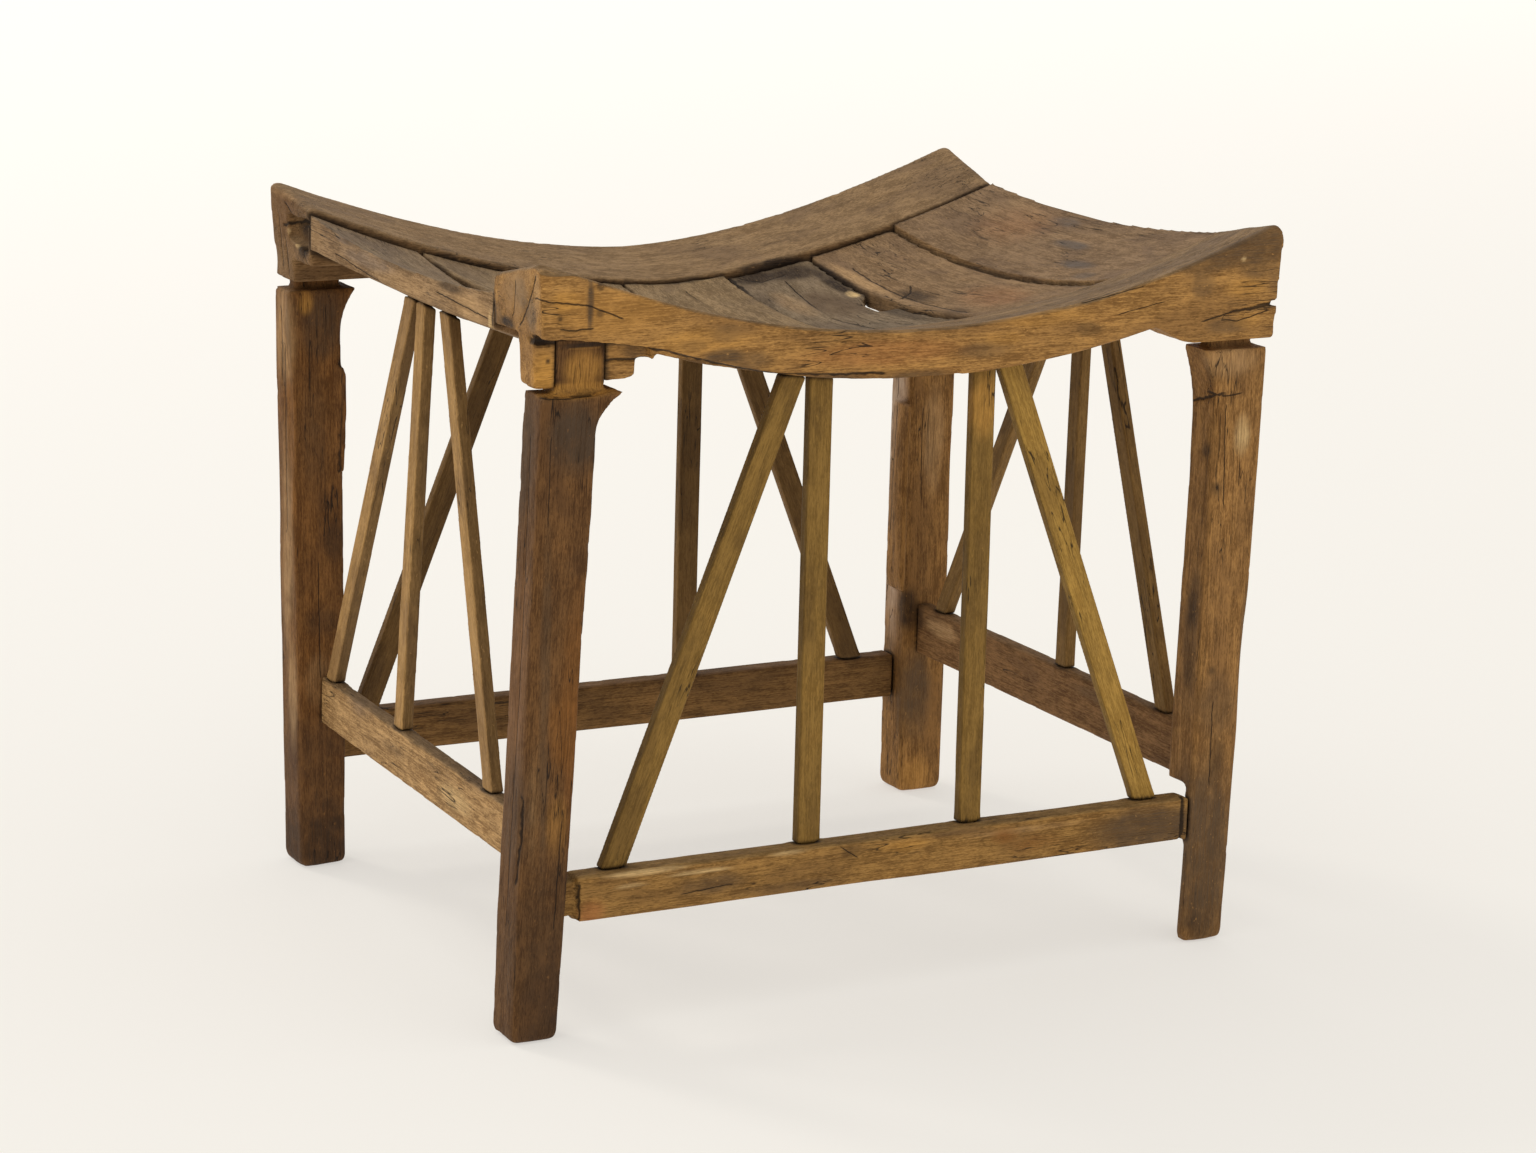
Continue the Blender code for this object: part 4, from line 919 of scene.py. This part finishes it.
# Values of a layer between which a mask rises, and the mask's values there
PATINA_MASK = (0.47, 0.64, 0.0, 0.70)
FADED_MASK = (0.46, 0.32, 0.0, 0.5)
EDGE_WEAR_AND_HIGHLIGHT_MASK = (0.40, 0.62, 0.0, 0.5)
STAIN_MASK = (0.30, 0.65, 0.7, 1.15)
SPECK_MASK = (0.68, 0.74, 0.0, 0.45)
PORE_MASK = (0.60, 0.72, 0.0, 0.5)
CHECK_MASK = (0.003, 0.014, 1.0, 0.0)
GATE_MASK = (0.52, 0.62)
CRACK_MASK = (0.4, 1.3, 1.0, 0.0)
DIRT_AND_SHADE_MASK = (0.3, 0.6, 0.6, 0.9)

# Colours laid over the wood, as linear values, and the shares of its own tones that others have
PATINA = (0.56, 0.54, 0.57)
FADED = (1.30, 1.28, 1.25)
STAIN_LIGHT = (1.35, 1.35, 1.35)
CRACK_COLOUR = (0.012, 0.007, 0.004)
# Near black laid in seams and hollows, as dirt and as painted shade
DIRT_AND_SHADE_COLOUR = (0.020, 0.012, 0.007)
SPECK_SHARE = 1.25
PORE_SHARE = 0.35
LINE_STRENGTH = 0.85
HOLLOW_DIRT_AND_SHADE = 0.5

# How far a crack's line wanders, in its radii, and the scale of that noise
WANDER = 3.6
WANDER_SCALE = 170.0
WANDER_DETAIL = 2.0

# Height of the fibres, the fuzz and the pores in the bump, its depth in metres and its strength
FIBRE_HEIGHT = 0.5
FUZZ_HEIGHT = 0.3
PORE_HEIGHT = 0.35
BUMP_DEPTH = 0.0007
BUMP_STRENGTH = 0.6

# What is added to a piece's roughness where its wood is darkest and lightest, and its shine
DARK_ROUGHNESS = 0.14
LIGHT_ROUGHNESS = -0.04
SHINE = 0.16


def add(tree, kind, values=None, **settings):
    """Adds a node, with its settings and with values or links for its inputs."""
    item = tree.nodes.new(kind)
    for key, value in settings.items():
        setattr(item, key, value)
    for key, value in (values or {}).items():
        if isinstance(value, bpy.types.NodeSocket):
            tree.links.new(value, item.inputs[key])
        else:
            item.inputs[key].default_value = value
    return item


def read(tree, name, output="Fac"):
    return add(tree, "ShaderNodeAttribute", attribute_name=name).outputs[output]


def maths(tree, operation, first, second=0.0, clamp=False):
    values = {0: first, 1: second}
    return add(tree, "ShaderNodeMath", values, operation=operation, use_clamp=clamp).outputs[0]


def spread(tree, value, low, high, out_low=0.0, out_high=1.0):
    """A value from low to high, mapped smoothly onto another range."""
    values = {0: value, 1: low, 2: high, 3: out_low, 4: out_high}
    return add(tree, "ShaderNodeMapRange", values, interpolation_type="SMOOTHSTEP").outputs[0]


def mix(tree, share, first, second, way="MIX"):
    values = {0: share, 6: first, 7: second}
    return add(tree, "ShaderNodeMix", values, data_type="RGBA", blend_type=way).outputs[2]


def opaque(colour, share=1.0):
    """A share of a colour, with full alpha."""
    return (*(share * c for c in colour), 1.0)


def streaks(tree, grain, along, across, detail, rough, wobble):
    """Noise drawn out along the grain. Its sizes are millimetres."""
    scale = (1 / (along * MM), 1 / (across * MM), 1 / (across * MM))
    placed = add(tree, "ShaderNodeMapping", {"Vector": grain, "Scale": scale}).outputs[0]
    values = {"Vector": placed, "Scale": 1.0, "Detail": detail, "Roughness": rough}
    values["Distortion"] = wobble
    return add(tree, "ShaderNodeTexNoise", values).outputs[0]


def ramp(tree, value, colours):
    """A colour from evenly spaced stops."""
    item = add(tree, "ShaderNodeValToRGB", {0: value})
    stops = item.color_ramp.elements
    while len(stops) < len(colours):
        stops.new(0.5)
    for i, colour in enumerate(colours):
        stops[i].position = RAMP_START + RAMP_LENGTH * i / (len(colours) - 1)
        stops[i].color = opaque(colour)
    return item.outputs[0]


def tones(colour, shares):
    """The dark, middle and light tone of a colour given as 0 to 255."""
    middle = linear(colour)
    dark, light = (tuple(c * share for c, share in zip(middle, row)) for row in shares)
    return dark, middle, light


def bare_wood(tree, layers, tone, face_tones, top_tones):
    """Colour of the wood, with its patina, faded patches, the painted light and shade of its sides, and
    rubbed edges lightened as wear and as a painted highlight.
    """
    face = ramp(tree, tone, face_tones)
    top = ramp(tree, tone, top_tones)
    colour = mix(tree, read(tree, "weather"), face, top)
    patina = spread(tree, layers["blotches"], *PATINA_MASK)
    colour = mix(tree, patina, colour, opaque(PATINA), "MULTIPLY")
    faded = spread(tree, layers["blotches"], *FADED_MASK)
    colour = mix(tree, faded, colour, opaque(FADED), "MULTIPLY")
    # Painted light and shade: each side of the piece made lighter or darker, kept in the side attribute
    colour = mix(tree, 1.0, colour, read(tree, "side", "Color"), "MULTIPLY")
    # Edges lightened towards the light tone: rubbed wear and a painted highlight
    edge = maths(tree, "MULTIPLY", read(tree, "edge"), spread(tree, layers["mottle"], *EDGE_WEAR_AND_HIGHLIGHT_MASK))
    return mix(tree, edge, colour, opaque(face_tones[2]))


def stained(tree, layers, tone, colour):
    """The colour with the piece's stains over it, which keep some of the wood's tone."""
    stain = add(tree, "ShaderNodeAttribute", attribute_name="stain")
    ragged = spread(tree, layers["fibres"], *STAIN_MASK)
    amount = maths(tree, "MULTIPLY", stain.outputs["Alpha"], ragged, clamp=True)
    paint = mix(tree, tone, stain.outputs["Color"], opaque(STAIN_LIGHT), "MULTIPLY")
    return mix(tree, amount, colour, paint)


def crack_mask(tree):
    """One on a crack and zero beside it. The cracks wander a little from their straight lines."""
    place = add(tree, "ShaderNodeTexCoord").outputs["Object"]
    values = {"Vector": place, "Scale": WANDER_SCALE, "Detail": WANDER_DETAIL}
    wander = add(tree, "ShaderNodeTexNoise", values).outputs[0]
    wander = maths(tree, "MULTIPLY", maths(tree, "SUBTRACT", wander, 0.5), WANDER)
    across = maths(tree, "ABSOLUTE", maths(tree, "ADD", read(tree, "across"), wander))
    return maths(tree, "MULTIPLY", spread(tree, across, *CRACK_MASK), read(tree, "split"))


def line_mask(tree, layers):
    """One on a crack or on one of the fine checks along the grain."""
    line = maths(tree, "ABSOLUTE", maths(tree, "SUBTRACT", layers["checks"], 0.5))
    line = spread(tree, line, *CHECK_MASK)
    line = maths(tree, "MULTIPLY", line, spread(tree, layers["gates"], *GATE_MASK))
    return maths(tree, "MAXIMUM", line, crack_mask(tree))


# Dirt and painted shade: darkest in the seams between pieces and in hollows
def dirt_and_shade_mask(tree, layers):
    hollow = maths(tree, "MULTIPLY", read(tree, "hollow"), HOLLOW_DIRT_AND_SHADE)
    dirt_and_shade = maths(tree, "MAXIMUM", read(tree, "dirt_and_shade"), hollow)
    return maths(tree, "MULTIPLY", dirt_and_shade, spread(tree, layers["blotches"], *DIRT_AND_SHADE_MASK))


def relief(tree, layers, pores, line):
    """Normals of fine fibres, pores and cracks."""
    fibres = maths(tree, "MULTIPLY", layers["fibres"], FIBRE_HEIGHT)
    height = maths(tree, "ADD", fibres, maths(tree, "MULTIPLY", layers["fuzz"], FUZZ_HEIGHT))
    height = maths(tree, "SUBTRACT", height, maths(tree, "MULTIPLY", pores, PORE_HEIGHT))
    height = maths(tree, "SUBTRACT", height, line)
    values = {"Strength": BUMP_STRENGTH, "Distance": BUMP_DEPTH, "Height": height}
    return add(tree, "ShaderNodeBump", values).outputs[0]


def wood_material(node):
    """Wood with fibres, bands, pores and fine cracks along the piece's own grain."""
    face_colour, top_colour, roughness = WOODS[kind_of(node, WOODS)]
    face_tones = tones(face_colour, STRUT_SHARES if node.startswith("strut") else FACE_SHARES)
    top_tones = tones(top_colour, TOP_SHARES)
    dark, _, light = face_tones
    material = bpy.data.materials.new(f"{node}_wood")
    material.use_nodes = True
    tree = material.node_tree
    shader = tree.nodes["Principled BSDF"]
    grain = read(tree, "grain", "Vector")
    layers = {name: streaks(tree, grain, *sizes) for name, sizes in LAYERS.items()}

    tone = 0.0
    for name, share in TONE_LAYERS.items():
        tone = maths(tree, "ADD", tone, maths(tree, "MULTIPLY", layers[name], share))
    tone = spread(tree, tone, *TONE_RANGE)
    specks = spread(tree, layers["specks"], *SPECK_MASK)
    pores = spread(tree, layers["pores"], *PORE_MASK)
    line = line_mask(tree, layers)

    colour = bare_wood(tree, layers, tone, face_tones, top_tones)
    colour = stained(tree, layers, tone, colour)
    colour = mix(tree, specks, colour, opaque(light, SPECK_SHARE))
    colour = mix(tree, pores, colour, opaque(dark, PORE_SHARE))
    colour = mix(tree, maths(tree, "MULTIPLY", line, LINE_STRENGTH), colour, opaque(CRACK_COLOUR))
    colour = mix(tree, dirt_and_shade_mask(tree, layers), colour, opaque(DIRT_AND_SHADE_COLOUR))
    rough = spread(tree, tone, 0.0, 1.0, roughness + DARK_ROUGHNESS, roughness + LIGHT_ROUGHNESS)

    tree.links.new(colour, shader.inputs["Base Color"])
    tree.links.new(rough, shader.inputs["Roughness"])
    tree.links.new(relief(tree, layers, pores, line), shader.inputs["Normal"])
    shader.inputs["Specular IOR Level"].default_value = SHINE
    return material


def build_pieces():
    """Replaces every solid of the frame by its worn copy."""
    pieces = {}
    clouds = {}
    for node in sorted(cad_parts):
        worn = node_copy(node)
        remesh(worn, WEAR[kind_of(node, WEAR)]["voxel"])
        points = relaxed(read_points(worn.data), read_edges(worn.data), rounds=1, pull=EVEN_PULL)
        write_points(worn.data, points)
        pieces[node] = worn
        clouds[node] = points
    for number, (node, worn) in enumerate(pieces.items()):
        mesh = worn.data
        apart = apartness(clouds, node)
        wear(worn, node, number, 1 - step(apart, *COVER_STEP))
        # Dirt and painted shade in the seams between pieces
        write_attribute(mesh, "dirt_and_shade", "FLOAT", dirt_and_shade_in_seams(apart, clouds[node], node, number))
        normals = read_normals(mesh)
        write_attribute(mesh, "weather", "FLOAT", weathered(normals, read_points(mesh), number))
        # The side attribute holds painted light and shade: how light each side is painted
        write_attribute(mesh, "side", "FLOAT", painted_side_shares(normals, node))
        add_stains(worn, node, number)
        mesh.materials.clear()
        mesh.materials.append(wood_material(node))
        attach(worn, "root")
        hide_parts(node)


# Camera, floor and light

# The camera's place is in metres, its angles are radians and its sensor is in millimetres
CAMERA_PLACE = (-1.0528, -1.9525, 0.7111)
CAMERA_YAW = 0.4990
CAMERA_PITCH = 0.2349
CAMERA_ROLL = -0.0310
SENSOR_WIDTH = 36.0
PHOTO_WIDTH = 1536
FOCAL_PIXELS = 4257.4

FLOOR_REACH = 40.0
FLOOR_COLOUR = (0.40, 0.385, 0.355)
FLOOR_ROUGHNESS = 0.9

# The floor's own glow, which is painted light, the way it grows, and between which distances and
# strengths it does so
GLOW_COLOUR = (1.0, 0.97, 0.92)
GLOW_WAY = (-0.35, 1.0, 0.0)
GLOW_RANGE = (-0.5, 4.5, 0.53, 0.70)

# The way to the studio's brightest part, and its strength against how far one looks that way
STUDIO_COLOUR = (1.0, 0.985, 0.96)
STUDIO_WAY = (-0.45, -0.08, 0.89)
STUDIO_RANGE = (-0.3, 1.0, 0.57, 0.99)

KEY_COLOUR = (1.0, 0.97, 0.92)
KEY_ENERGY = 0.50
KEY_DEGREES = 11
KEY_WAY = (0.30, -0.66, -0.68)


def make_camera():
    data = bpy.data.cameras.new("camera")
    data.sensor_fit = "HORIZONTAL"
    data.sensor_width = SENSOR_WIDTH
    data.lens = SENSOR_WIDTH * FOCAL_PIXELS / PHOTO_WIDTH
    camera = bpy.data.objects.new("camera", data)
    bpy.context.scene.collection.objects.link(camera)
    level = math.cos(CAMERA_PITCH)
    ahead = Vector((math.sin(CAMERA_YAW) * level, math.cos(CAMERA_YAW) * level, -math.sin(CAMERA_PITCH)))
    right = Vector((math.cos(CAMERA_YAW), -math.sin(CAMERA_YAW), 0.0))
    down = ahead.cross(right)
    turned_right = right * math.cos(CAMERA_ROLL) + down * math.sin(CAMERA_ROLL)
    turned_down = down * math.cos(CAMERA_ROLL) - right * math.sin(CAMERA_ROLL)
    turn = Matrix((turned_right, -turned_down, -ahead)).transposed()
    camera.matrix_world = Matrix.Translation(CAMERA_PLACE) @ turn.to_4x4()
    bpy.context.scene.camera = camera


def make_floor():
    """A pale floor that glows faintly, as a lit table does, and more so far away at the left. The glow
    is painted light that softens the shadows on the floor.
    """
    mesh = bpy.data.meshes.new("floor")
    corners = [(FLOOR_REACH * x, FLOOR_REACH * y, 0) for x, y in ((-1, -1), (1, -1), (1, 1), (-1, 1))]
    mesh.from_pydata(corners, [], [(0, 1, 2, 3)])
    floor = bpy.data.objects.new("floor", mesh)
    bpy.context.scene.collection.objects.link(floor)
    material = bpy.data.materials.new("pale_floor")
    material.use_nodes = True
    tree = material.node_tree
    shader = tree.nodes["Principled BSDF"]
    place = add(tree, "ShaderNodeTexCoord").outputs["Object"]
    away = add(tree, "ShaderNodeVectorMath", {0: place, 1: GLOW_WAY}, operation="DOT_PRODUCT")
    glow = spread(tree, away.outputs["Value"], *GLOW_RANGE)
    tree.links.new(glow, shader.inputs["Emission Strength"])
    shader.inputs["Emission Color"].default_value = opaque(GLOW_COLOUR)
    shader.inputs["Base Color"].default_value = opaque(FLOOR_COLOUR)
    shader.inputs["Roughness"].default_value = FLOOR_ROUGHNESS
    shader.inputs["Specular IOR Level"].default_value = 0.0
    mesh.materials.append(material)
    floor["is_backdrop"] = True


def make_light():
    """A bright studio, brightest above, with a soft key light from behind and to the left."""
    world = bpy.data.worlds.new("studio")
    world.use_nodes = True
    tree = world.node_tree
    background = tree.nodes["Background"]
    way = add(tree, "ShaderNodeTexCoord").outputs["Generated"]
    towards = Vector(STUDIO_WAY).normalized()
    facing = add(tree, "ShaderNodeVectorMath", {0: way, 1: towards}, operation="DOT_PRODUCT")
    light = spread(tree, facing.outputs["Value"], *STUDIO_RANGE)
    tree.links.new(light, background.inputs["Strength"])
    background.inputs["Color"].default_value = opaque(STUDIO_COLOUR)
    bpy.context.scene.world = world

    data = bpy.data.lights.new("key", "SUN")
    data.energy = KEY_ENERGY
    data.angle = math.radians(KEY_DEGREES)
    data.color = KEY_COLOUR
    key = bpy.data.objects.new("key", data)
    key.rotation_euler = Vector(KEY_WAY).to_track_quat("-Z", "Y").to_euler()
    bpy.context.scene.collection.objects.link(key)


make_camera()
make_floor()
make_light()
build_pieces()
bpy.context.scene.view_settings.view_transform = "Standard"
